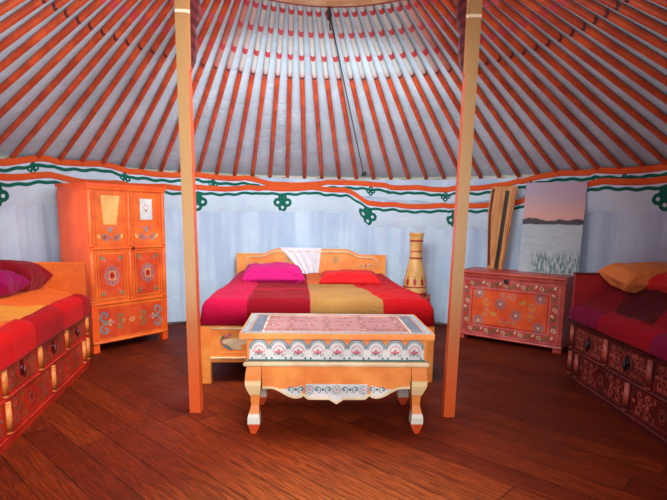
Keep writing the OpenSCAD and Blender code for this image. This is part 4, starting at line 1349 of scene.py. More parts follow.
# %% Chest
def chest():
    w, h = 0.98, 0.68
    face = front_of("chest", 0.0)
    pots = ["pink", "green", "cream", "steel", "red", "tangerine", "violet", "black", "ochre", "coral"]
    ink = Inlay("chest_painting", face, pots)
    x0, z0, x1, z1 = 0.045, 0.075, w - 0.045, h - 0.085
    band = 0.072
    ink.rect(x0, z0, x1, z0 + band, "coral", 0)
    ink.rect(x0, z1 - band, x1, z1, "coral", 0)
    ink.rect(x0, z0 + band, x0 + band, z1 - band, "coral", 0)
    ink.rect(x1 - band, z0 + band, x1, z1 - band, "coral", 0)
    for grow, tone, width in ((0.0, "pink", 0.010), (band, "pink", 0.010), (band + 0.018, "red", 0.008)):
        frame_line(ink, x0 + grow, z0 + grow, x1 - grow, z1 - grow, width, tone, 1)
    ink.rect(x0 + band, z0 + band, x1 - band, z1 - band, "tangerine", 0)
    runs = [
        ((x0 + band * 0.5, z0 + band / 2), (x1 - band * 0.5, z0 + band / 2)),
        ((x0 + band * 0.5, z1 - band / 2), (x1 - band * 0.5, z1 - band / 2)),
        ((x0 + band / 2, z0 + band), (x0 + band / 2, z1 - band)),
        ((x1 - band / 2, z0 + band), (x1 - band / 2, z1 - band))
    ]
    for (ax, az), (bx, bz) in runs:
        length = math.hypot(bx - ax, bz - az)
        count = max(2, round(length / 0.085))
        for k in range(count):
            t = (k + 0.5) / count
            x, z = ax + (bx - ax) * t, az + (bz - az) * t
            hand = 1 if k % 2 else -1
            spiral(ink, x, z, 0.024, "green" if k % 2 else "cream", 0.007, 1.2, math.pi * (k % 2), hand, 2)
            ink.shape(circle(x, z, 0.006, 8), "violet" if k % 2 else "steel", 3)
            if az == bz:
                leaf(ink, x + 0.028, z, 0.034, 60 * hand, "cream" if k % 2 else "green", 2)
            else:
                leaf(ink, x, z + 0.028, 0.034, 90 + 60 * hand, "cream" if k % 2 else "green", 2)
    mid_x, mid_z = w / 2, (z0 + z1) / 2
    for x, z in (
        (-0.285, 0.135), (0.285, 0.135), (-0.285, -0.135), (0.285, -0.135), (-0.075, 0.045), (0.075, -0.045)
    ):
        rosette(ink, mid_x + x, mid_z + z, 0.056, "steel", "cream", "steel", 1.0)
    for s in (-1, 1):
        double_scroll(ink, mid_x + s * 0.215, mid_z, 0.12, "ochre", "pink")
        double_scroll(ink, mid_x, mid_z + s * 0.125, 0.11, "pink", "ochre", upright=False)
        leaf(ink, mid_x + s * 0.10, mid_z + s * 0.07, 0.07, 90 - s * 70, "ochre", 1)
    ink.line([(0.004, h - 0.056), (w - 0.004, h - 0.056)], 0.004, "black", level=2)
    ink.done("red_wood")
    trims = [
        moulding("chest", -0.008, w + 0.008, h - 0.030, COVE, -0.008), moulding("chest", 0, w, 0.036, COVE)
    ]
    piece("chest_mouldings", *gather(trims), POT["coral"], "red_wood", smooth=False)
    stud = [(0, 0), (0.020, 0), (0.022, 0.003), (0.014, 0.006), (0.0, 0.007)]
    hasp = [lathe(stud, 16, matrix=facing("chest", w * 0.47, -0.014, h - 0.075))]
    ring = [
        PLACE["chest"] @ Vector((w * 0.47 + 0.013 * math.sin(t), -0.024, h - 0.096 + 0.013 * math.cos(t)))
        for t in [k * 2 * math.pi / 16 for k in range(17)]
    ]
    hasp.append(sweep(ring, 0.0028, 8))
    piece("chest_hasp", *gather(hasp), POT["black"], "red_wood")


chest()
print("chest dressed")

# %% [markdown]
# ## The low table
# Its top has a blue-grey border round a red and pink panel. Under it a white band carries arches outlined in
# teal, then a cream moulding, and a scalloped apron board with a cream edge and three floral panels, over
# curved legs.


# %% Table
TABLE_W, TABLE_D, TABLE_H = 1.02, 0.56, 0.568
BAND_W, BAND_D, BAND_H = 0.95, 0.49, 0.13


def table_top():
    """A rose panel with rust rosettes and scrolls, inside a blue-grey border with a row of white points."""
    w, d, h = TABLE_W, TABLE_D, TABLE_H
    tones = ["slate", "rose", "red", "cream", "teal", "rust"]
    top = Inlay("table_top_painting", top_of("table", h - 0.003), tones)
    ix, iy = w / 2 - 0.048, d / 2 - 0.048
    top.rect(-ix, -iy, ix, iy, "rose", 0)
    for s in (-1, 1):
        top.rect(s * (ix - 0.030) - 0.030, -iy, s * (ix - 0.030) + 0.030, iy, "slate", 1)
    frame_line(top, -ix + 0.068, -iy + 0.012, ix - 0.068, iy - 0.012, 0.008, "cream", 1)
    for i in range(8):
        for j in range(4):
            x, y = (i - 3.5) * (2 * ix - 0.22) / 7, -iy + 0.07 + j * (2 * iy - 0.14) / 3
            if (i + j) % 2:
                rosette(top, x, y, 0.036, "rust", "cream", "slate", 1.0)
            else:
                double_scroll(top, x, y, 0.080, "rust", "slate", upright=bool(j % 2))
    edge = Inlay("table_border_painting", top_of("table", h), ["steel", "white", "teal", "red"])
    lip, rim, strip = 0.008, 0.042, 0.017
    wide, high, low = 0.013, 0.016, 0.033
    for s in (-1, 1):
        x, y = s * (w / 2 - lip - strip), s * (d / 2 - lip - strip)
        edge.rect(-w / 2 + lip, y - strip, w / 2 - lip, y + strip, "steel", 0)
        edge.rect(x - strip, -d / 2 + rim, x + strip, d / 2 - rim, "steel", 0)
    for s in (-1, 1):
        for k in range(26):
            x, y0, y1 = -w / 2 + 0.04 + k * (w - 0.08) / 25, s * (d / 2 - low), s * (d / 2 - high)
            edge.line([(x - wide, y0), (x, y1), (x + wide, y0)], 0.004, "white", level=1)
        for k in range(12):
            y, x0, x1 = -d / 2 + 0.06 + k * (d - 0.12) / 11, s * (w / 2 - low), s * (w / 2 - high)
            edge.line([(x0, y - wide), (x1, y), (x0, y + wide)], 0.004, "white", level=1)
    top.done("red_wood")
    edge.done("red_wood")


def arch_band(name, turn, half, foot, tall):
    """White arches outlined in blue-grey, teal and pink, along one side of the band under the top."""
    tones = ["white", "teal", "red", "steel", "cream", "pink", "ochre", "green"]
    ink = Inlay("table_band_%s_%d" % (name, turn), front_of("face", 0.0), tones)
    count = 9 if name == "front" else 5
    pitch = 2 * (half - 0.012) / count
    for k in range(count):
        x = -half + 0.012 + pitch * (k + 0.5)
        arch = [
            (x + pitch / 2 * math.cos(t), foot + 0.050 + (tall - 0.050) * math.sin(t))
            for t in [math.pi * q / 14 for q in range(15)]
        ]
        ink.shape([(x - pitch / 2, foot), (x + pitch / 2, foot)] + arch, "white", 0)
        ink.line(arch[1:-1], 0.010, "steel", level=2)
        for wide, high, tone in ((0.86, 0.90, "teal"), (0.62, 0.70, "pink")):
            inner = [(x + (px - x) * wide, foot + (pz - foot) * high) for px, pz in arch]
            ink.line(inner[1:-1], 0.004, tone, level=1)
        for tilt in (30, 90, 150):
            leaf(ink, x, foot + 0.036, 0.026, tilt, "pink", 2, 0.30)
        ink.shape(circle(x, foot + 0.034, 0.006, 8), "teal", 3)
        for s in (-1, 1):
            spiral(ink, x + s * pitch * 0.19, foot + 0.030, 0.011, "steel", 0.004, 1.1, 0, s, 2)
            ink.shape(circle(x + s * pitch * 0.36, foot + 0.012, 0.006, 8), "teal", 3)
    ink.line([(-half + 0.004, foot), (half - 0.004, foot)], 0.010, "teal", level=3)
    ink.done("red_wood")


TABLE_BEAD = [
    (0.012, 0.0), (0.018, 0.004), (0.020, 0.012), (0.014, 0.018), (0.012, 0.024), (0.0, 0.024), (0.0, 0.0)
]


def table():
    table_top()
    z0, z1 = TABLE_H - 0.03 - BAND_H, TABLE_H - 0.03
    foot = z0 + 0.008
    rails = []
    for turn in (0, 180):
        spun = PLACE["table"] @ spin("Z", turn)
        for name, half, deep in (("front", BAND_W / 2, BAND_D / 2), ("side", BAND_D / 2, BAND_W / 2)):
            matrix = spun if name == "front" else spun @ spin("Z", 90)
            PLACE["face"] = matrix @ move(0, -deep, 0)
            arch_band(name, turn, half, foot, z1 - foot - 0.010)
            rails.append(moulding("face", -half - 0.012, half + 0.012, z0 - 0.024, TABLE_BEAD))
            apron_painting(name, turn)
    piece("table_mouldings", *gather(rails), POT["cream"], "ochre_wood", smooth=False)


def scallop(x):
    """How deep the apron hangs at x from its middle: a point, a flat lobe, a notch, a round lobe and a
    long bracket."""
    x = abs(x)
    if x < 0.035:
        return 0.208 - 0.70 * x
    if x < 0.173:
        return 0.183 - 0.024 * max(0.0, (x - 0.145) / 0.028) ** 2
    if x < 0.215:
        return 0.176 - 0.017 * ((0.215 - x) / 0.042) ** 2
    return 0.122 + 0.027 * (1 + math.cos(math.pi * min(1.0, (x - 0.215) / 0.140)))


APRON_L = 0.79


def apron_painting(name, turn):
    """A thin scalloped board in front of the apron, with its cream edge and three floral panels."""
    top_z, out = 0.384, 0.006
    length, share = (APRON_L, 1.0) if name == "front" else (0.335, 0.8)
    steps = 120
    edge = [
        (length * (k / steps - 0.5), top_z - share * scallop(APRON_L * (k / steps - 0.5)))
        for k in range(steps + 1)
    ]
    points = []
    for x, z in edge:
        points += [
            PLACE["face"] @ Vector(p)
            for p in ((x, -out, top_z), (x, -out, z), (x, 0.0015, z), (x, 0.0015, top_z))
        ]
    piece(
        "table_apron_board_%s_%d" % (name, turn), points, ring_faces(steps + 1, 4), FINISH["table_body"],
        "ochre_wood", smooth=False
    )
    ink = Inlay(
        "table_apron_%s_%d" % (name, turn), front_of("face", -out),
        ["cream", "white", "steel", "teal", "pink"], lift=0.0008
    )
    ink.line([(x, z + 0.0065) for x, z in edge], 0.013, "cream", level=3)
    roof = top_z - share * 0.096
    for low, high in ((0.180, 0.300), (-0.168, 0.168), (-0.300, -0.180)):
        low, high = low * length / APRON_L, high * length / APRON_L
        floor = [(x, z + 0.012) for x, z in edge if low < x < high and z + 0.014 < roof]
        taper = [
            1.0 if abs(x) < 0.2 * length else max(0.0, 1 - (abs(x) / length - 0.2) / 0.19) for x, _ in floor
        ]
        flat = floor + [(x, z + (roof - z) * t ** 0.6) for (x, z), t in list(zip(floor, taper))[::-1]]
        n = len(floor)
        ink.lay(flat, [(i, i + 1, 2 * n - 2 - i, 2 * n - 1 - i) for i in range(n - 1)], "white", 1)
    for k in range(-3, 4):
        x = k * length * 0.092
        if k % 2:
            double_scroll(
                ink, x, top_z - share * 0.126, 0.060 * length / APRON_L, "steel", "teal", False, level=2
            )
        else:
            rosette(ink, x, top_z - share * 0.128, 0.030 * share, "steel", "pink", "white", 1.0, level=2)
    ink.done("ochre_wood")


table()
print("table dressed")

# %% [markdown]
# ## Patchwork cloth
# The quilts are sewn from large plain blocks. One material per quilt reads the bed's own metres and picks the
# colour of the block, so the seams in the colour and the sewn channels in the shape can share the same
# numbers. On the right quilt, the darkest blocks are painted shade.


# %% Patchwork material
def patchwork(name, place, ground, blocks):
    """blocks: [(tone, [(a, b, c), ...])]; a block is where every a*x + b*y < c, in the bed's metres."""
    material, g, shader = finish(name, Sheen_Weight=0.04, Sheen_Roughness=0.45)
    shader.inputs["Specular IOR Level"].default_value = 0.1
    inverse = PLACE[place].inverted()
    x, y = g.xyz(g.here())[:2]
    rows = []
    for row in (0, 1):
        part = g.times(x, inverse[row][0])
        part = g.plus(part, g.times(y, inverse[row][1]))
        rows.append(g.plus(part, inverse[row][3]))
    weave, crush = use(g, WEAVE, Pitch=0.004), use(g, CREASE)
    base = ground
    for tone, planes in blocks:
        mask = None
        for a, b, c in planes:
            far = g.minus(c, g.plus(g.times(rows[0], a), g.times(rows[1], b)))
            inside = g.between(far, 0.0, 0.004)
            mask = inside if mask is None else g.times(mask, inside)
        base = g.mix(mask, base, tone)
    deep = g.mix(1.0, base, colour(172, 110, 122), "MULTIPLY")
    base = g.mix(g.between(weave["Tone"], 0.3, 0.75, 0.0, 0.35), base, deep)
    base = g.mix(g.between(weave["Thread"], -1.0, 1.2, 0.18, 0.0), base, deep)
    height = g.plus(g.times(weave["Thread"], 0.06), g.times(weave["Slub"], 0.25))
    dress(
        g, shader, base, g.between(weave["Slub"], 0.3, 0.7, 0.72, 0.95),
        g.plus(height, g.times(crush["Fold"], 1.0)), 0.0015
    )
    return material


MAGENTA, WINE, DEEP_RED = colour(184, 10, 60), colour(132, 4, 22), colour(158, 10, 30)
SCARLET, MUSTARD, AMBER = colour(180, 12, 20), colour(166, 122, 64), colour(206, 100, 40)
RED, CRIMSON, SUNNY = colour(214, 12, 12), colour(178, 8, 16), colour(246, 158, 52)
TANGERINE, BLOOD, PAINTED_SHADE = colour(250, 112, 32), colour(150, 10, 30), colour(130, 12, 26)
PLUM, PAINTED_DEEP_SHADE = colour(130, 14, 62), colour(88, 12, 22)
STRIP = [(-1, 0, -0.315), (1, 0, 0.755)]
QUILT = {
    "bed": patchwork(
        "back bed patchwork", "bed", MAGENTA,
        [
            (WINE, STRIP), (DEEP_RED, STRIP + [(0, -1, -0.50), (0, 1, 0.72)]),
            (DEEP_RED, STRIP + [(0, -1, -1.16), (0, 1, 1.42)]),
            (MUSTARD, [(-1, 0, -0.755)]), (AMBER, [(-1, 0, -0.755), (0, -1, -1.12)]),
            (SCARLET, [(-1, -0.10, -1.27)])
        ]
    ),
    "left": patchwork(
        "left bed patchwork", "left", TANGERINE,
        [
            (SUNNY, [(-1, 1.0, -0.62), (1, -1.0, 1.10)]), (SUNNY, [(-1, -0.6, -1.55)]),
            (RED, [(0, 1, 0.045)]), (CRIMSON, [(0, 1, 0.045), (1, 0, 0.20)]),
            (CRIMSON, [(0, 1, 0.045), (-1, 0, -0.62), (1, 0, 1.08)])
        ]
    ),
    "right": patchwork(
        "right bed patchwork", "right", BLOOD,
        [
            # the darkest blocks of this quilt, over its head end and the far end of its top, are painted
            # shade and not sewn blocks
            (PAINTED_SHADE, [(1, 0, 0.80)]), (PAINTED_DEEP_SHADE, [(-1, -0.97, -0.49), (1, 0.67, 0.88), (0, -1, -0.05)]),
            (BLOOD, [(-1, 0.4, -1.02)]), (PLUM, [(0, 1, 0.02), (1, 0, 0.42)]),
            (DEEP_RED, [(0, 1, 0.05), (-1, 0, -0.42), (1, 0, 0.98)]),
            (PLUM, [(0, 1, 0.12), (-1, 0, -0.98), (1, 0, 1.45)]), (PAINTED_DEEP_SHADE, [(-1, 0, -1.5), (0, -1, -0.12)])
        ]
    ),
}
print("patchwork for", list(QUILT))

# %% [markdown]
# ## Quilts and mattresses
# A quilt is a thick sheet that lies over a mattress and rounds over its edge. It is drawn as a path across
# the bed, with the stuffing as a crown between the sewn channels, creases at two sizes, and a real thickness.


# %% Quilts
def rumple(x, y, seed, size=1.0):
    """Creases and slow swells of a quilt, in metres."""
    swell = 0.014 * wander(x * 1.6, y * 1.6, seed=seed)
    ridge = 0.011 * (1 - abs(wander(x * 3.6, y * 3.0, seed=seed + 1)) * 2.2) ** 3
    small = 0.004 * wander(x * 11, y * 9, seed=seed + 2)
    return size * (swell + max(-0.004, ridge) * 0.8 + small)


def path_at(path, s):
    """Point and outward direction at distance s along a path of (y, z) points."""
    for (y0, z0), (y1, z1) in zip(path, path[1:]):
        step = math.hypot(y1 - y0, z1 - z0)
        if s <= step or (y1, z1) == path[-1]:
            t = min(1.0, s / step)
            return y0 + (y1 - y0) * t, z0 + (z1 - z0) * t, ((z1 - z0) / step, -(y1 - y0) / step)
        s -= step


def rounded(points, radius, n=7):
    """Rounds the corners of an open path."""
    out = [points[0]]
    for a, b, c in zip(points, points[1:], points[2:]):
        ab, cb = (Vector(a) - Vector(b)), (Vector(c) - Vector(b))
        r = min(radius, ab.length * 0.48, cb.length * 0.48)
        p, q = Vector(b) + ab.normalized() * r, Vector(b) + cb.normalized() * r
        for k in range(n + 1):
            t = k / n
            out.append(tuple(p * (1 - t) ** 2 + Vector(b) * 2 * t * (1 - t) + q * t * t))
    return out + [points[-1]]


def side_quilt(place, name, hides, seams, seed, hem, heap):
    """Mattress and quilt of a side bed; y is 0 at the front and 0.82 at the wall.

    hem is where the quilt ends, and heap is how high the bedding piles up behind, towards the head."""
    matrix, length = PLACE[place], 1.888
    path = rounded([(0.792, 0.475), (0.792, 0.562), (-0.018, 0.562), (-0.018, hem)], 0.045)
    total = sum(math.hypot(b[0] - a[0], b[1] - a[1]) for a, b in zip(path, path[1:]))

    def rule(u, v):
        x = 0.010 + (length - 0.016) * u
        y, z, out = path_at(path, v * total)
        crown = min(1.0, u * 16, (1 - u) * 16)
        puff = rumple(x, v * total, seed) * (0.35 + 0.65 * min(1.0, crown))
        for seam in seams:
            puff -= 0.007 * math.exp(-(((x - seam) / 0.016) ** 2))
        end = 0.030 * (1 - min(1.0, crown)) ** 2
        hang = 0.016 * wander(x * 2.6, seed=seed + 4) * max(0.0, (0.53 - z) / 0.15) if y < 0 else 0.0
        z -= end if z > 0.5 else 0.0
        pile = heap * smooth(y / 0.42) * (1 - 0.55 * smooth((x - 0.9) / 0.8)) * smooth((z - 0.49) / 0.06)
        give = 0.4 if y < 0.01 else 1.0
        return matrix @ Vector((x, y + out[0] * puff * give, z + out[1] * puff - hang + pile))

    cover = piece(name + "_patchwork", *surface(rule, 110, 62), QUILT[place], "red_cloth", hides=hides)
    thicken(cover, 0.020, 1.0 if place == "left" else -1.0)
    pad = rounded(
        [(0.775, 0.475), (0.782, 0.500), (0.775, 0.538), (0.012, 0.538), (0.002, 0.500), (0.010, 0.475)],
        0.02, 4
    )
    points = []
    for k in range(41):
        x = 0.012 + 1.874 * k / 40
        shrink = 0.010 * (1 - min(1.0, k / 2, (40 - k) / 2))
        points += [
            matrix @ Vector((x, min(max(y, 0.004 + shrink), 0.79 - shrink), z - shrink * (z > 0.5)))
            for y, z in pad
        ]
    mattress = piece(name + "_mattress", points, ring_faces(41, len(pad)), CLOTH["sheet"], "white_cloth")


side_quilt("left", "left_bed", ["left_bed_quilt"], (0.20, 0.62, 1.08, 1.42), 31, 0.415, 0.07)
side_quilt("right", "right_bed", ["right_bed_quilt"], (0.42, 0.98, 1.45), 41, 0.468, 0.20)


def back_quilt():
    """The wide quilt of the back bed rounds over both rails and the footboard."""
    matrix, w, y0, y1 = PLACE["bed"], 1.64, 0.0, 2.09
    base = 0.418

    def rule(u, v):
        x, y = -0.006 + (w + 0.012) * u, y0 - 0.004 + (y1 - y0) * v
        edge = min(u * w, (1 - u) * w, v * (y1 - y0)) / 0.085
        head = min(1.0, (1 - v) * (y1 - y0) / 0.05)
        lift = math.sqrt(max(0.0, 1 - (1 - min(1.0, edge)) ** 3))
        top = 0.560 + 0.036 * (1 - smooth((y - 0.35) / 0.75))
        z = base + (top - base) * lift * (0.55 + 0.45 * head)
        puff = (
            rumple(x, y, 51, 1.3) * min(1.0, edge)
            + 0.035 * max(0.0, 1 - abs(x - 0.20) / 0.35) * clamp(y - 0.3) * min(1.0, edge)
        )
        for seam in (0.315, 0.755, 1.245):
            puff -= 0.008 * math.exp(-(((x - seam) / 0.018) ** 2)) * min(1.0, edge)
        droop = 0.012 * wander(x * 3, y * 3, seed=56) * (1 - min(1.0, edge))
        return matrix @ Vector((x, y, z + puff + droop))

    made = piece("back_quilt", *surface(rule, 96, 112), QUILT["bed"], "red_cloth", hides=["back_bed_quilt"])
    thicken(made, 0.020)
    repaint("back_bed_mattress", CLOTH["sheet"])


back_quilt()
print("quilts and mattresses made")

# %% [markdown]
# ## Pillows
# A pillow is two layers of cloth sewn at the edge and blown up by its filling. That is what the cloth
# simulation does best: a thin closed pad is remeshed, filled with a little pressure and settled, and its
# corners draw in by themselves.


# %% Pillows
def pillow_pad(name, w, d, t, cells=16):
    """A thin closed pad: two layers of cloth sewn together at the edge, thicker in the middle."""
    pad = bmesh.new()
    rows = []
    for s in (1, -1):
        layer = []
        for j in range(cells + 1):
            for i in range(cells + 1):
                hump = max(0.0, 1 - abs(2 * i / cells - 1) ** 3) * max(0.0, 1 - abs(2 * j / cells - 1) ** 3)
                z = s * 0.36 * t * hump**0.6 + s * 0.006
                layer.append(pad.verts.new((0.94 * w * (i / cells - 0.5), 0.94 * d * (j / cells - 0.5), z)))
        rows.append(layer)
    k = cells + 1
    for s, layer in enumerate(rows):
        for j in range(cells):
            for i in range(cells):
                ring = [
                    layer[j * k + i], layer[j * k + i + 1], layer[(j + 1) * k + i + 1], layer[(j + 1) * k + i]
                ]
                pad.faces.new(ring if s == 0 else ring[::-1])
    rim = [(i, 0) for i in range(cells)] + [(cells, j) for j in range(cells)]
    rim += [(i, cells) for i in range(cells, 0, -1)] + [(0, j) for j in range(cells, 0, -1)]
    for (i0, j0), (i1, j1) in zip(rim, rim[1:] + rim[:1]):
        spots = ((1, j0 * k + i0), (1, j1 * k + i1), (0, j1 * k + i1), (0, j0 * k + i0))
        pad.faces.new([rows[layer][spot] for layer, spot in spots])
    mesh = bpy.data.meshes.new(name)
    pad.to_mesh(mesh)
    pad.free()
    return mesh


def pillow(name, place, middle, size, tilt, cloth_name, hides=(), cap=0.035, seed=0):
    """size is (along x, along y, thickness) when filled; tilt is in degrees about y, x and z."""
    made = put(name, pillow_pad(name, *size))
    remesh = made.modifiers.new("voxels", "REMESH")
    remesh.mode, remesh.voxel_size = "VOXEL", 0.0095
    blow_up(made, cap)
    round_off = made.modifiers.new("smooth cloth", "SMOOTH")
    round_off.factor, round_off.iterations = 0.5, 5
    place_it = PLACE[place] @ Matrix.Translation(middle)
    for angle, axis in zip(tilt, "YXZ"):
        place_it = place_it @ spin(axis, angle)
    for v in made.data.vertices:
        x, y, z = v.co
        crush = (
            0.006 * wander(x * 9, y * 9, seed=seed)
            + 0.010 * (1 - min(1.0, 3 * abs(wander(x * 5, y * 4, seed=seed + 1)))) * (z > 0)
        )
        v.co.z = z - crush * (1 if z > 0 else -0.3)
    made.data.transform(place_it)
    made.data.materials.append(CLOTH[cloth_name])
    made.data.polygons.foreach_set("use_smooth", [True] * len(made.data.polygons))
    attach(made, "root")
    if hides:
        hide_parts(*hides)
    return made


def bake_shape(made):
    """Turns the modifiers of a piece into its mesh."""
    graph = bpy.context.evaluated_depsgraph_get()
    settled = bpy.data.meshes.new_from_object(made.evaluated_get(graph))
    made.modifiers.clear()
    made.data = settled


def blow_up(made, cap):
    """Fills the pad with air for twenty frames and keeps every point within cap of where it was."""
    bake_shape(made)
    start = [v.co.copy() for v in made.data.vertices]
    air = made.modifiers.new("filling", "CLOTH")
    air.settings.quality = 5
    air.settings.use_pressure, air.settings.uniform_pressure_force = True, 4.0
    air.settings.tension_stiffness = air.settings.compression_stiffness = 12
    air.settings.effector_weights.gravity = 0
    air.point_cache.frame_start, air.point_cache.frame_end = 1, 20
    for step in range(1, 21):
        scene.frame_set(step)
    bake_shape(made)
    for v, old in zip(made.data.vertices, start):
        moved = v.co - old
        if moved.length > cap:
            v.co = old + moved.normalized() * cap
    scene.frame_set(1)


pillow(
    "magenta_pillow", "bed", (0.440, 1.27, 0.624), (0.66, 0.48, 0.18), (0, 5, 3), "magenta",
    ["back_bed_pillows"], seed=61
)
pillow(
    "red_pillow", "bed", (1.15, 1.25, 0.594), (0.66, 0.44, 0.11), (0, 3, -4), "scarlet", seed=62
)
pillow(
    "wine_pillow", "left", (0.30, 0.46, 0.730), (0.46, 0.64, 0.20), (-4, 0, 0), "wine",
    ["left_bed_pillow"], seed=63
)
pillow(
    "violet_pillow", "left", (0.60, 0.44, 0.725), (0.34, 0.54, 0.13), (-4, 0, 4), "violet",
    seed=64
)
pillow(
    "orange_pillow", "right", (0.22, 0.46, 0.800), (0.42, 0.76, 0.15), (8, 0, 3), "amber",
    ["right_bed_pillow"], seed=65
)
pillow(
    "scarlet_pillow", "right", (0.54, 0.52, 0.785), (0.42, 0.62, 0.15), (-8, 0, -6), "scarlet",
    seed=66
)
print("pillows filled")

# %% [markdown]
# ## The veil on the headboard
# A thin white cloth is thrown over the middle of the headboard. It gathers to a point on its lower right, so
# its width shrinks and its folds deepen as it comes down the front.


# %% Veil, vase, picture and board
def veil():
    matrix, top, back, front = PLACE["bed"], 0.826, 2.178, 2.128
    drop_back, drop_front = 0.10, 0.29
    total = drop_back + (back - front) + drop_front

    def rule(u, v):
        s = v * total
        if s < drop_back:
            y, z = back, top - drop_back + s
        elif s < drop_back + back - front:
            y, z = back - (s - drop_back), top + 0.004 * math.sin(math.pi * (s - drop_back) / (back - front))
        else:
            y, z = front, top - (s - drop_back - (back - front))
        down = max(0.0, (top - z) / drop_front) if y == front else 0.0
        left, right = 0.47 + 0.26 * down, 0.92 - 0.03 * down
        x = left + (right - left) * u
        fold = 0.006 + 0.022 * down
        y -= fold * (0.5 + 0.5 * math.sin(u * 26 + 2 * wander(u * 3, seed=71))) * (y == front)
        z -= 0.03 * down * (1 - u) * math.sin(u * 5)
        return matrix @ Vector((x, y, z))

    made = piece(
        "headboard_veil", *surface(rule, 60, 40), CLOTH["veil"], "white_cloth", hides=["headboard_cloth"]
    )
    thicken(made, 0.0012, 0.0)


def vase():
    at = PLACE["cab"] @ Vector((0.16, 0.15, 0.36))
    bands = []
    for r, z, tall in (
        (0.1245, 0.03, 0.012), (0.1215, 0.10, 0.006), (0.0655, 0.40, 0.008), (0.0635, 0.47, 0.006),
        (0.0685, 0.58, 0.008)
    ):
        shape = [(-0.004, -tall), (0.0015, -tall), (0.003, 0), (0.0015, tall), (-0.004, tall)]
        bands.append(lathe([(r + out, up) for out, up in shape], 40, at=(at.x, at.y, at.z + z)))
    piece("vase_bands", *gather(bands), POT["red"], "red_wood")

    def around(s, z, lift=0.0):
        waist = 0.1185 - 0.14 * max(0.0, z - 0.13)
        return Vector((at.x, at.y, at.z + z)) + polar(waist + lift, math.degrees(s / 0.118))

    ink = Inlay("vase_painting", around, ["red", "cream", "teal"], step=0.01, lift=0.0015)
    for k in range(9):
        s = (k + 0.5) * 2 * math.pi * 0.118 / 9
        leaf(ink, s, 0.115, 0.075, 90, "red", 1, 0.28)
        ink.shape(circle(s, 0.205, 0.008, 8), "teal", 1)
    ink.done("red_wood", 0.001)


def picture():
    """Card with a plain generic view: a pink sky, a dark line of hills, pale water and reeds at its right."""
    material, g, shader = finish("printed card", Roughness=0.55)
    x, y, z = g.xyz(g.here())[:3]
    along = g.plus(g.times(x, 0.79), g.times(y, -0.61))
    sky = g.mix(g.between(z, 1.22, 1.56), colour(232, 176, 160), colour(188, 166, 186))
    ridge = g.plus(1.20, g.times(g.noise(5.0, 3.0, g.join(along, 0.0, 0.0)), 0.12))
    near = g.plus(1.155, g.times(g.noise(3.0, 3.0, g.join(along, 4.0, 0.0)), 0.12))
    grass = g.mix(
        g.noise(9.0, 4.0, g.join(along, 0.0, g.times(z, 3.0))), colour(158, 180, 190), colour(208, 220, 222)
    )
    base = g.mix(g.between(g.minus(z, ridge), 0.006, -0.006), sky, colour(62, 54, 68))
    base = g.mix(g.between(g.minus(z, near), 0.006, -0.006), base, grass)
    reeds = g.between(g.noise(26.0, 3.0, g.join(g.times(along, 2.0), 0.0, g.times(z, 0.4))), 0.46, 0.54)
    reeds = g.times(
        reeds, g.between(g.plus(z, g.times(g.noise(7.0, 2.0, g.join(along, 0.0, 0.0)), 0.30)), 1.14, 1.04)
    )
    reeds = g.times(reeds, g.between(along, 0.30, 0.40))
    base = g.mix(g.times(reeds, 0.8), base, colour(62, 124, 104))
    g.feed(shader.inputs["Base Color"], base)
    raise_surface(g, shader, g.noise(4.0, 2.0, g.here()), 0.002)
    repaint("picture_sheet", material)


def leaning_board():
    PLACE["board"] = PLACE["chest"] @ move(0.098, 0.33, 0.6803) @ spin("Z", -4) @ spin("X", -3)
    stick = PLACE["board"] @ move(0.120, -0.014, 0) @ spin("Y", 4)
    bar = piece(
        "dark_stick", *slab(-0.001, -0.0012, 0.0, 0.036, 0.0152, 0.781, stick), POT["black"], "ochre_wood",
        smooth=False
    )
    soften(bar, 0.003)
    ink = Inlay("board_lines_and_painted_shadow", front_of("board", 0.0), ["brick", "maroon"])
    # painted shadow: the wide maroon line down the board's left edge stands for the shadow in the gap at its
    # side
    ink.line([(0.056, 0.03), (0.024, 0.55), (0.042, 0.80)], 0.026, "maroon")
    ink.line([(0.195, 0.03), (0.240, 0.55), (0.270, 0.80)], 0.008, "brick")
    ink.done("ochre_wood")
    repaint(
        "leaning_board",
        timber("varnished tan board", colour(222, 158, 88), colour(192, 128, 66), pitch=9.0, rough=0.45)
    )


veil()
vase()
picture()
leaning_board()
print("veil, vase, picture and board made")

# %% [markdown]
# ## Ropes
# A laid rope shows as slanting strands. Each rope is a round bar whose UV map holds metres along it and the
# share of a turn round it, so one material can draw three strands on every rope of the house, whatever its
# size.


# %% Rope maker
def rope_finish(name, tone, dark, lay=0.056):
    material, g, shader = finish(name, Sheen_Weight=0.25, Sheen_Roughness=0.5, Roughness=0.9)
    u, v = g.xyz(g.add("UVMap").outputs["UV"])[:2]
    phase = g.times(g.minus(v, g.over(u, lay)), 3 * math.pi)
    strand = g.size(g.math("SINE", phase))
    fibre = g.noise(60.0, 2.0, g.join(g.times(g.plus(v, g.over(u, lay)), 2.0), g.times(u, 0.5), 0.0))
    # painted shade: the grooves between the strands are darkened
    base = g.mix(g.between(strand, 0.05, 0.45), dark, tone)
    base = g.mix(g.between(fibre, 0.3, 0.7, 0.0, 0.35), base, dark)
    g.feed(shader.inputs["Base Color"], base)
    raise_surface(g, shader, g.plus(g.between(strand, 0.0, 0.7), g.times(fibre, 0.3)), 0.004)
    return material


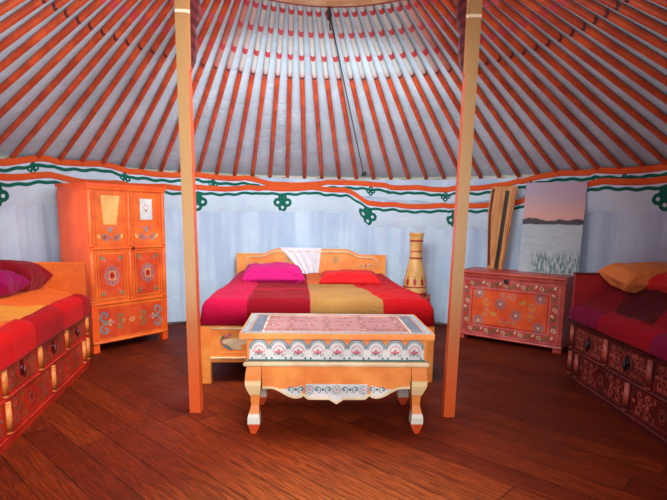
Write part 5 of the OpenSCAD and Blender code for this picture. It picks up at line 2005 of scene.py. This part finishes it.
def rope(name, paths, radius, paint, hides=(), sides=10, slot="rope"):
    """Round bars on some paths, with their lay in the UV map."""
    points, faces, lay = [], [], []
    for path in paths:
        start, far = len(points), [0.0]
        for p, q in zip(path, path[1:]):
            far.append(far[-1] + (q - p).length)
        some, quads = sweep(path, radius, sides)
        points += some
        for f in quads:
            k = f[0] % sides
            turn = [k, k + 1, k + 1, k] if len(f) == 4 and f[3] - f[0] == sides else [i % sides for i in f]
            lay += [(far[i // sides], t / sides) for i, t in zip(f, turn)]
            faces.append(tuple(i + start for i in f))
    made = piece(name, points, faces, paint, slot, hides=hides)
    layer = made.data.uv_layers.new(name="lay")
    for loop, uv in zip(layer.data, lay):
        loop.uv = uv
    return made


def hitch(middle, along, radius, thick, turns=2.6):
    """Path of a few turns of rope wound round a line, as in a knot."""
    along = along.normalized()
    side = along.orthogonal().normalized()
    other = along.cross(side)
    path = []
    for k in range(int(turns * 14) + 1):
        a, share = 2 * math.pi * k / 14, k / (turns * 14)
        r = radius * (1.0 - 0.25 * math.sin(share * math.pi))
        path.append(
            middle + side * (r * math.cos(a)) + other * (r * math.sin(a))
            + along * ((share - 0.5) * turns * thick * 1.9)
        )
    return path


HEMP = rope_finish("hemp rope", colour(214, 190, 148), colour(120, 92, 58))
HORSEHAIR = rope_finish("dark horsehair rope", colour(62, 34, 30), colour(26, 12, 12), lay=0.036)
print("two rope finishes made")

# %% [markdown]
# ## The wall canvas
# Felt makes a ger warm and white canvas keeps it dry. The girth ropes press the wall in at three heights, so
# the cloth bellies out between them and breaks into small upright pleats beside each rope. Each panel laps
# over the next.

# %% Wall canvas
GIRTHS = [share * WALL_TOP for share in (0.25, 0.55, 0.83)]
FELT_START = door_angle(2.9816) - 90
FELT_STEP = (180 - 2 * FELT_START) / 4


def canvas_finish(name, seams):
    """Plain outdoor canvas; seams is the number of sewn widths round the house."""
    material, g, shader = finish(name, Sheen_Weight=0.15, Sheen_Roughness=0.5)
    where = g.here()
    x, y, z = g.xyz(where)[:3]
    weave, crush = use(g, WEAVE, Pitch=0.006), use(g, CREASE)
    turn = g.times(g.math("ARCTAN2", y, x), seams / (2 * math.pi))
    off = g.size(g.minus(g.math("FRACT", g.plus(turn, 20.25)), 0.5))
    metres = g.times(off, g.over(g.times(g.length(g.join(x, y, 0.0)), 2 * math.pi), seams))
    fold = g.between(metres, 0.011, 0.009)
    thread = g.times(
        g.between(g.size(g.minus(metres, 0.007)), 0.0016, 0.0008),
        g.between(g.math("SINE", g.times(g.plus(z, g.length(g.join(x, y, 0.0))), 700.0)), -0.3, 0.1)
    )
    stain = g.noise(1.3, 5.0, where)
    base = g.mix(g.between(stain, 0.35, 0.75), colour(226, 222, 208), colour(204, 198, 180))
    base = g.mix(
        g.between(z, 0.45, 0.0, 0.0, 0.55), base,
        g.mix(g.noise(5.0, 4.0, where), colour(176, 158, 128), colour(206, 196, 172))
    )
    base = g.mix(g.between(weave["Tone"], 0.3, 0.75, 0.0, 0.25), base, colour(190, 184, 168))
    base = g.mix(g.times(thread, 0.7), base, colour(150, 138, 118))
    base = g.mix(
        g.times(g.between(g.size(g.minus(metres, 0.011)), 0.003, 0.0), 0.5), base, colour(150, 140, 122)
    )
    height = g.plus(g.times(weave["Thread"], 0.05), g.times(fold, 0.8))
    dress(
        g, shader, base, g.between(weave["Slub"], 0.3, 0.7, 0.78, 0.95),
        g.plus(height, g.times(crush["Fold"], 0.9)), 0.002
    )
    return material


CANVAS_WALL, CANVAS_ROOF = canvas_finish("wall canvas", 12), canvas_finish("roof canvas", 24)


def belly(z):
    """0 at the ropes, the foot and the eave, 1 half-way between."""
    levels = [-0.05] + GIRTHS + [WALL_TOP + 0.04]
    low, high = next((lo, hi) for lo, hi in zip(levels, levels[1:]) if z <= hi)
    return math.sin(math.pi * (z - low) / (high - low)) ** 0.8


def wall_cloth(a, z, seed):
    s = math.radians(a) * COVER_R
    near = min(abs(z - h) for h in GIRTHS)
    crimp = wander(s * 13 + 0.6 * wander(s * 4, z * 5), z * 1.2, seed=seed)
    pleat = 0.0055 * math.exp(-((near / 0.11) ** 2)) * crimp
    slack = 0.012 * wander(s * 1.5, z * 2.2, seed=seed + 1) + 0.004 * wander(s * 5, z * 3.5, seed=seed + 2)
    free = clamp((1.56 - z) / 0.13)
    swing = 0.004 * wander(s * 9, z * 1.5, seed=seed + 3) * max(0.0, 1 - z / 0.3)
    out = 0.017 * belly(z) + slack * (0.2 + 0.8 * belly(z)) * 0.7 + pleat + swing
    return COVER_R + 0.002 + out * free - 0.002 * (1 - free)


def wall_canvas(name, index):
    a0, a1 = (FELT_START + FELT_STEP * (index + k) for k in (0, 1))
    lap = math.degrees(0.08 / COVER_R) if index < 3 else 0.0

    def rule(u, v):
        a = a0 + 0.01 + (a1 + lap - a0 - 0.02) * u
        over_next = clamp((a - a1 + 0.6) / 0.6) * 0.006 if lap else 0.0
        foot = 0.010 + 0.006 * wander(math.radians(a) * 9, seed=84)
        z = foot + (WALL_TOP - 0.004 - foot) * v
        r = wall_cloth(a, z, 81) + over_next + (0.003 if v < 0.03 else 0.0)
        return polar(r, a, z)

    made = piece(name, *surface(rule, 150, 50), CANVAS_WALL, "canvas", hides=["wall_cover_" + name[12:]])
    thicken(made, 0.003)


def girth_rounds():
    """Three ropes from jamb to jamb, each with a hitch near both ends."""
    paths, steps = [], 420
    half = door_angle(COVER_R + 0.0083, 0.006)
    for level, height in enumerate(GIRTHS):
        path = []
        for k in range(steps + 1):
            a = -90 + half + (360 - 2 * half) * k / steps
            ends = min(1.0, k / 8, (steps - k) / 8)
            r = COVER_R + 0.0095 + 0.0012 * wander(a * 0.6, seed=level)
            path.append(polar(r, a, height + 0.008 * wander(a * 0.08, seed=level + 5) * ends))
        paths.append(path)
        for spot in (4, steps - 4):
            middle = path[spot] + path[spot].normalized() * 0.004
            paths.append(hitch(middle, path[spot + 2] - path[spot - 2], 0.011, 0.006))
    rope("girth_rope_rounds", paths, 0.008, HEMP, ["girth_ropes"])


girth_rounds()
for index, side in enumerate(("right", "back_right", "back_left", "left")):
    wall_canvas("wall_canvas_" + side, index)
print("wall canvas, girth ropes at", [round(h, 2) for h in GIRTHS])

# %% [markdown]
# ## The roof canvas
# The roof cloth lies on felt over the poles, so each pole shows as a faint ridge that runs askew like the
# pole. Its lower edge turns down over the eave, and its upper edge ends in a rolled hem on the crown ring.

# %% Roof canvas, eave and flap
TILT = math.cos(math.atan(SLOPE))
SKIN = 0.031 / TILT
EAVE = COVER_R + 0.014
HEM_R = 0.862  # radius of the upper hem
CUT = 2.42  # length of the cloth from the upper hem to the lower edge
TIES = [22.5 + 45 * i for i in range(8)]


def ridge(r, a):
    """1 over a pole and 0 between two poles."""
    return 0.5 + 0.5 * math.cos(2 * math.pi * pole_phase(r, a)[0])


def near_tie(r, a):
    gap = min(abs((a - t + 180) % 360 - 180) for t in TIES)
    return math.exp(-((math.radians(gap) * r / 0.05) ** 2)) if r > 1.25 else 0.0


def roof_cloth(r, a, seed=91):
    s = math.radians(a) * 3
    sag = -0.005 * (1 - ridge(r, a)) * min(1.0, (r - 0.9) / 0.6) if r > 0.9 else 0.0
    folds = 0.004 * wander(s * 6, r * 1.1, seed=seed) + 0.007 * wander(s * 1.2, r * 1.6, seed=seed + 1)
    return over(r) + SKIN + 0.006 + sag + folds * min(1.0, (r - 0.8) / 0.5) - 0.004 * near_tie(r, a)


def roof_canvas(name, a0, a1):
    lap = 1.6

    def rule(u, v):
        a = a0 + (a1 + lap - a0) * u
        rise = clamp((a - a1 + 0.5) / 0.5) * 0.006
        wave = 0.008 * wander(math.radians(a) * 14, seed=95)
        path = v * CUT
        if path < 0.03:
            turn = path / 0.03
            z = roof_cloth(HEM_R, a) - 0.018 * (1 - turn) ** 1.5 + rise
            return polar(HEM_R + 0.010 * (1 - turn) ** 2, a, z)
        if path < 2.34:
            r = HEM_R + (EAVE - HEM_R) * (path - 0.03) / 2.31
            return polar(r, a, roof_cloth(r, a) + rise)
        drop = (path - 2.34) / 0.08
        bend = math.sin(drop * math.pi / 2)
        fall = (0.052 + wave) * (1 - math.cos(drop * math.pi / 2)) * 0.9
        z = roof_cloth(EAVE, a) + rise - fall - 0.004 * drop
        return polar(EAVE + 0.006 * bend + 0.5 * rise + 0.3 * wave * drop, a, z)

    cells = round((a1 - a0) / 0.70)
    made = piece(name, *surface(rule, cells, 64), CANVAS_ROOF, "canvas", hides=["roof_cover_" + name[12:]])
    thicken(made, 0.003)


for side, a0, a1 in (
    ("back_right", 14, 90), ("back_left", 90, 166), ("front_left", 166, 270), ("front_right", 270, 374)
):
    roof_canvas("roof_canvas_" + side, a0, a1)


def skirt():
    half = door_angle(COVER_R + 0.002, 0.004)

    def rule(u, v):
        a = -90 + half + (360 - 2 * half) * u
        s = math.radians(a) * 3
        hem = 1.580 + 0.006 * wander(s * 2.2, seed=97)
        z = hem + (over(COVER_R + 0.006) - 0.004 - hem) * v
        free = (1 - v) ** 1.3
        wave = 0.5 + 0.5 * math.sin(s * 26 + 3 * wander(s * 1.5, seed=98))
        out = free * (0.003 + 0.010 * wave * (0.6 + 0.4 * wander(s * 2, seed=99)))
        return polar(COVER_R + 0.006 + out, a, z)

    made = piece("eave_cloth", *surface(rule, 800, 5), CANVAS_WALL, "canvas", hides=["eave_skirt"])
    thicken(made, 0.002)


def flap_height(r, a):
    """Underside of the flap: over the arched bars inside, over the roof cloth outside."""
    bar_r = ((RING_R - 0.12 / 2) ** 2 + 0.17**2) / (2 * 0.17)
    middle = RING_Z + RING_H + 0.17 - bar_r
    arched = middle + math.sqrt((bar_r + 0.021) ** 2 - min(r, 0.84) ** 2)
    flat = roof_cloth(max(r, HEM_R), a) + 0.003
    between_bars = math.sin(math.radians(a) * 5) ** 2
    sag = 0.022 * between_bars * math.sin(math.pi * min(1.0, r / 0.86)) ** 0.8
    share = smooth((r - 0.74) / 0.14)
    return (arched + 0.003 - sag) * (1 - share) + flat * share


def crown_flap():
    edge = 1.23

    def rule(u, v):
        x = -edge + 2 * edge * u
        wide = math.sqrt(max(0.0, edge**2 - x * x))
        y = wide * v
        r, a = math.hypot(x, y), math.degrees(math.atan2(y, x))
        rolled = 0.012 * math.exp(-((y / 0.03) ** 2))
        rolled += 0.006 * wander(x * 5, y * 5, seed=101) * (1 - v) * (v > 0)
        lift = 0.005 * (0.5 + 0.5 * wander(a * 0.35, r * 2, seed=102)) * max(0.0, (r - 1.0) / 0.23)
        return Vector((x, y, flap_height(r, a) + 0.009 + rolled + lift))

    made = piece("crown_flap_cloth", *surface(rule, 120, 60), CANVAS_ROOF, "canvas", hides=["crown_flap"])
    thicken(made, 0.007)


def roof_ties():
    """Ropes from the flap and the crown down to the eave, tied to the upper girth."""
    paths, tabs = [], []
    for a in TIES:
        top = 1.16 if a < 180 else 1.24
        extra = 0.016 if a < 180 else 0.0
        path = [
            polar(r, a, roof_cloth(r, a) + 0.0095 + extra * max(0.0, 1 - (r - top) / 0.10))
            for r in [top + (EAVE - top) * k / 60 for k in range(61)]
        ]
        for r, z in (
            (EAVE + 0.013, 1.745), (EAVE + 0.021, 1.727), (EAVE + 0.022, 1.70), (EAVE + 0.020, 1.60),
            (EAVE + 0.014, 1.50), (EAVE + 0.012, 1.41)
        ):
            path.append(polar(r, a + 0.15 * wander(z * 9, a), z))
        paths.append(path)
        paths.append(hitch(polar(EAVE + 0.009, a, GIRTHS[2]), polar(1, a + 90, 0), 0.013, 0.0075))
        tail = [
            polar(EAVE + 0.014 + 0.004 * math.sin(k), a + 0.35 + 0.04 * k, GIRTHS[2] - 0.012 - 0.021 * k)
            for k in range(6)
        ]
        paths.append(tail)
        upper = polar(top + 0.03, a, roof_cloth(top + 0.03, a) + 0.010 + extra)
        paths.append(hitch(upper, polar(1, a, -SLOPE), 0.010, 0.007, 2.2))
        flat = [(0.0, -0.05), (0.0, 0.05), (0.09, 0.028), (0.13, 0.0), (0.09, -0.028)]
        spots = []
        for level in (0.006, 0.0015):
            for out, across in flat:
                r, turn = top - 0.03 + out, a + math.degrees(across / top)
                height = flap_height(r, turn) + 0.012 if a < 180 and r < 1.225 else roof_cloth(r, turn)
                spots.append(polar(r, turn, height + level))
        tabs.append((spots, ring_faces(2, len(flat))))
    rope("roof_tie_ropes", paths, 0.008, HEMP, ["roof_ropes"])
    piece("rope_tabs", *gather(tabs), CANVAS_WALL, "canvas", smooth=False)


skirt()
crown_flap()
roof_ties()
print("roof canvas, eave cloth, flap and ties made")

# %% [markdown]
# ## The rope at the crown
# A dark rope hangs from the crown ring in a knot, runs down along one pole and is hitched to the wall head.
# It holds the crown down in a storm. Its route is the one in the CAD model.


# %% Crown rope
def crown_rope():
    start, end = rope_ends()
    ahead = (end - start).normalized()
    path = [
        start + (end - start) * (k / 60) - Vector((0, 0, 0.004 * math.sin(math.pi * k / 60)))
        for k in range(61)
    ]
    line = rope("crown_rope_line", [path], 0.0056, HORSEHAIR, ["crown_rope"], sides=8)
    knot_at = start + ahead * 0.03 - Vector((0, 0, 0.004))
    loops = [
        hitch(knot_at, ahead, 0.013, 0.006, 3.4),
        hitch(knot_at + Vector((0, 0, -0.014)), Vector((1, 0.2, 0.3)), 0.015, 0.006, 2.8)
    ]
    loops.append(hitch(knot_at + Vector((0.002, 0, -0.034)), Vector((0.2, 0.1, 1)), 0.013, 0.006, 2.6))
    tail = [
        knot_at + Vector((0.010 + 0.004 * math.sin(k * 0.9), -0.006, -0.012 - 0.014 * k)) for k in range(9)
    ]
    knots = rope("crown_rope_knot", loops + [tail], 0.0056, HORSEHAIR, sides=8)
    end_turns = hitch(end - ahead * 0.02 + Vector((0, 0, 0.010)), ahead, 0.026, 0.0056, 2.2)
    turns = rope("crown_rope_turns", [end_turns], 0.0052, HORSEHAIR, sides=8)
    length = (end - start).length
    [tuple(p) for p in path]
    return length


def rope_ends():
    """Both ends of the rope, from the ring's underside to the foot of the pole."""
    thick, pole = 0.0112, 0.042
    start = polar(RING_R - 0.010, 82 + POLE_SKEW, RING_Z - thick / 2 - 0.0003)
    foot = WALL_R + 0.005 + 0.0003 + 0.026 + 0.010
    crown_mid = RING_Z + RING_H / 2
    foot_z = crown_mid - (foot - RING_R) * SLOPE
    below = -(pole / 2 + thick / 2 + 0.0003)
    return start, polar(foot - 0.090, 82.6, foot_z + 0.090 * SLOPE + below / TILT)


print("crown rope", round(crown_rope(), 2), "m long")

# %% [markdown]
# ## The doorway
# The door is a framed leaf with three sunk panels on each face. Strap hinges and a ring handle are iron; the
# ornament is a knot in each panel inside a painted line, and a row of small flowers on the head of the frame.


# %% Door and frame details
LEAF_W, LEAF_T, LEAF_H, LEAF_FOOT = 0.818, 0.042, 1.456, 0.132
PLACE["leaf"] = move(-0.41, -3.0303, LEAF_FOOT) @ spin("Z", -112)
PLACE["frame"] = move(-0.5, -3.03, 0.0)


def leaf_face(y, sign, sunk=0.0):
    """Surface of one face of the door leaf; on the inner face x runs the other way."""
    place = PLACE["leaf"]
    return lambda x, z, lift=0.0: place @ Vector((x if sign > 0 else LEAF_W - x, y - sign * (lift - sunk), z))


def door_painting():
    """On both faces: a line round the leaf, and a knot, spirals and leaves in each of three sunk panels."""
    cell, middle = (LEAF_H - 0.1) / 3, LEAF_W / 2
    for face, y, sign in (("outer", 0.0, 1), ("inner", LEAF_T, -1)):
        ink = Inlay("door_painting_" + face, leaf_face(y, sign), ["cream", "ochre", "brick", "teal"])
        frame_line(ink, 0.035, 0.035, LEAF_W - 0.035, LEAF_H - 0.035, 0.010, "ochre")
        tones = ["cream", "ochre", "brick", "teal", "green"]
        low = Inlay("door_panels_" + face, leaf_face(y, sign, 0.010), tones)
        for k in range(3):
            z0 = 0.11 + k * cell
            z1 = z0 + cell - 0.11
            mid = (z0 + z1) / 2
            frame_line(ink, 0.095, z0 - 0.015, LEAF_W - 0.095, z1 + 0.015, 0.008, "cream")
            low.rect(0.125, z0 + 0.015, LEAF_W - 0.125, z1 - 0.015, "brick", 0)
            knot(low, middle, mid, 0.105, "ochre")
            for s in (-1, 1):
                spiral(low, middle + s * 0.205, mid + 0.03, 0.052, "cream", 0.013, 1.3, 0, s)
                leaf(low, middle + s * 0.235, mid - 0.06, 0.07, 90 - s * 30, "teal", 1)
        ink.done("red_wood")
        low.done("red_wood")


def forged_iron():
    metal, g, shader = finish("forged iron", Metallic=0.85)
    rust = g.noise(24.0, 5.0, g.here())
    base = g.mix(g.between(rust, 0.4, 0.7), colour(58, 54, 52), colour(92, 62, 46))
    dress(g, shader, base, g.between(rust, 0.3, 0.7, 0.42, 0.65), rust, 0.001)
    return metal


STUD = [(0.0, 0.0), (0.007, 0.0), (0.006, 0.003), (0.003, 0.005), (0.0, 0.0055)]
PIN = [(0.0, 0.0), (0.008, 0.0), (0.008, 0.09), (0.005, 0.094), (0.0, 0.094)]
ROSE = [
    (0.0, 0.0), (0.034, 0.0), (0.034, 0.003), (0.030, 0.005), (0.014, 0.006), (0.011, 0.016), (0.0, 0.018)
]


def ironwork():
    """Three strap hinges with pins and studs, and a ring handle on a rose on both faces."""
    parts, leaf_place = [], PLACE["leaf"]
    for z in (0.17, LEAF_H / 2, LEAF_H - 0.17):
        parts.append(slab(0.0, -0.0055, z - 0.019, 0.30, 0.005, 0.038, leaf_place))
        on_frame = PLACE["frame"] @ move(0.01, 0.0105, 0)
        parts.append(slab(0.001, -0.0155, LEAF_FOOT + z - 0.03, 0.075, 0.005, 0.06, on_frame))
        parts.append(lathe(PIN, 14, matrix=move(-0.415, -3.042, LEAF_FOOT + z - 0.045)))
        for x in (0.06, 0.14, 0.22):
            parts.append(lathe(STUD, 12, matrix=facing("leaf", x + 0.03, -0.0055, z)))
    for y, sign in ((0.0, -1), (LEAF_T, 1)):
        parts.append(lathe(ROSE, 28, matrix=leaf_place @ move(0.762, y, 0.70) @ spin("X", 90 * -sign)))
        ring = []
        for k in range(29):
            t = 2 * math.pi * k / 28
            out = y + sign * (0.013 + 0.004 * (1 - math.cos(t)))
            ring.append(leaf_place @ Vector((0.762 + 0.036 * math.sin(t), out, 0.664 + 0.036 * math.cos(t))))
        parts.append(sweep(ring, 0.0045, 10))
    soften(piece("door_ironwork", *gather(parts), forged_iron(), "red_wood", smooth=False), 0.0012)


def frame_painting():
    ink = Inlay("frame_painting", front_of("frame"), ["cream", "ochre", "teal", "brick", "green"])
    ink.line([(0.014, 0.02), (0.014, 1.666), (0.986, 1.666), (0.986, 0.02)], 0.006, "ochre")
    ink.line([(0.076, 0.15), (0.076, 1.604), (0.924, 1.604), (0.924, 0.15)], 0.006, "ochre")
    for k in range(9):
        x = 0.10 + 0.1 * k
        rosette(ink, x, 1.636, 0.017, "cream", "teal", "ochre", 1.0)
        if k < 8:
            leaf(ink, x + 0.036, 1.636, 0.030, 0, "green", 1, 0.3)
    for x in (0.045, 0.955):
        for k in range(7):
            knot(ink, x, 0.24 + 0.205 * k, 0.022, "cream", 1)
    ink.done("red_wood")


door_painting()
ironwork()
frame_painting()
print("door and frame detailed")

# %% [markdown]
# ## Floor, world and lamps
# The house stands on a plain pale floor that runs out to a white world. Outside, the soft world and one broad
# lamp shape the canvas. Inside, daylight from the crown and the doorway is stood in for by large area lamps,
# which no camera sees. Nothing is tinted strongly, so a colour renders about as it is written.


# %% Stage and lamps
def pale_floor():
    material, g, shader = finish("pale studio floor", Roughness=0.9)
    tone = g.mix(g.noise(1.5, 3.0, g.here()), colour(232, 232, 230), colour(240, 240, 238))
    g.feed(shader.inputs["Base Color"], tone)
    glow = g.add("Emission", {"Color": (1, 1, 1, 1), "Strength": 1.0})
    light = g.add("LightPath")
    far = g.between(g.length(g.here()), 7.0, 13.0)
    seen = g.times(light.outputs["Is Camera Ray"], far)
    both = g.add("MixShader", {0: seen, 1: shader.outputs[0], 2: glow.outputs[0]})
    out = material.node_tree.nodes["Material Output"]
    g.feed(out.inputs["Surface"], both.outputs[0])
    mesh = bpy.data.meshes.new("studio_floor")
    rim = [polar(60, a, -0.001) for a in range(0, 360, 5)]
    mesh.from_pydata([tuple(p) for p in rim], [], [tuple(range(len(rim)))])
    mesh.materials.append(material)
    put("studio_floor", mesh)


def white_world(level):
    world = bpy.data.worlds.new("soft daylight")
    scene.world = world
    world.use_nodes = True
    g = Graph(world.node_tree)
    light = g.add("LightPath")
    direct = g.math(
        "MAXIMUM", light.outputs["Is Camera Ray"],
        g.math("MAXIMUM", light.outputs["Is Glossy Ray"], light.outputs["Is Transmission Ray"])
    )
    back = world.node_tree.nodes["Background"]
    back.inputs["Color"].default_value = (1, 1, 1, 1)
    g.feed(back.inputs["Strength"], g.plus(g.times(direct, 1.0 - level), level))


def lamp(name, place, aim, size, power, tint=(1, 1, 1), shape="RECTANGLE", spread=180):
    data = bpy.data.lights.new(name, "AREA")
    data.energy, data.color, data.shape, data.spread = power, tint, shape, math.radians(spread)
    data.size, data.size_y = size
    made = put(name, data)
    made.location = place
    made.rotation_euler = (Vector(aim) - Vector(place)).to_track_quat("-Z", "Y").to_euler()
    made.visible_camera = False
    return made


pale_floor()
white_world(0.62)
sun = bpy.data.lights.new("high sun", "SUN")
sun.energy, sun.angle, sun.color = 1.35, math.radians(25), (1.0, 0.97, 0.92)
sun_lamp = put("high sun", sun)
sun_lamp.rotation_euler = Vector((-0.75, 0.35, -0.8)).to_track_quat("-Z", "Y").to_euler()
lamp("crown daylight", (0, 0, 2.62), (-0.4, 0.5, 0), (1.2, 1.2), 37, (0.90, 0.96, 1.0), "DISK", 120)
lamp("doorway daylight", (0.3, -2.55, 1.35), (-1.5, 0.7, 0.6), (1.1, 0.8), 38, (0.94, 0.97, 1.0), spread=130)
lamp("wall wash", (-0.02, 0.62, 2.02), (-0.25, 2.8, 1.0), (1.5, 0.6), 27, (0.86, 0.95, 1.0), spread=150)
lamp(
    "wardrobe side light", (-2.25, 0.72, 1.30), (-1.90, 1.62, 0.95), (0.30, 0.70), 1.2, (0.92, 0.96, 1.0),
    spread=75
)
lamp("floor bounce", (-0.50, -1.30, 0.60), (-0.50, -1.30, 3.0), (2.2, 1.1), 46, (0.86, 0.95, 1.0))
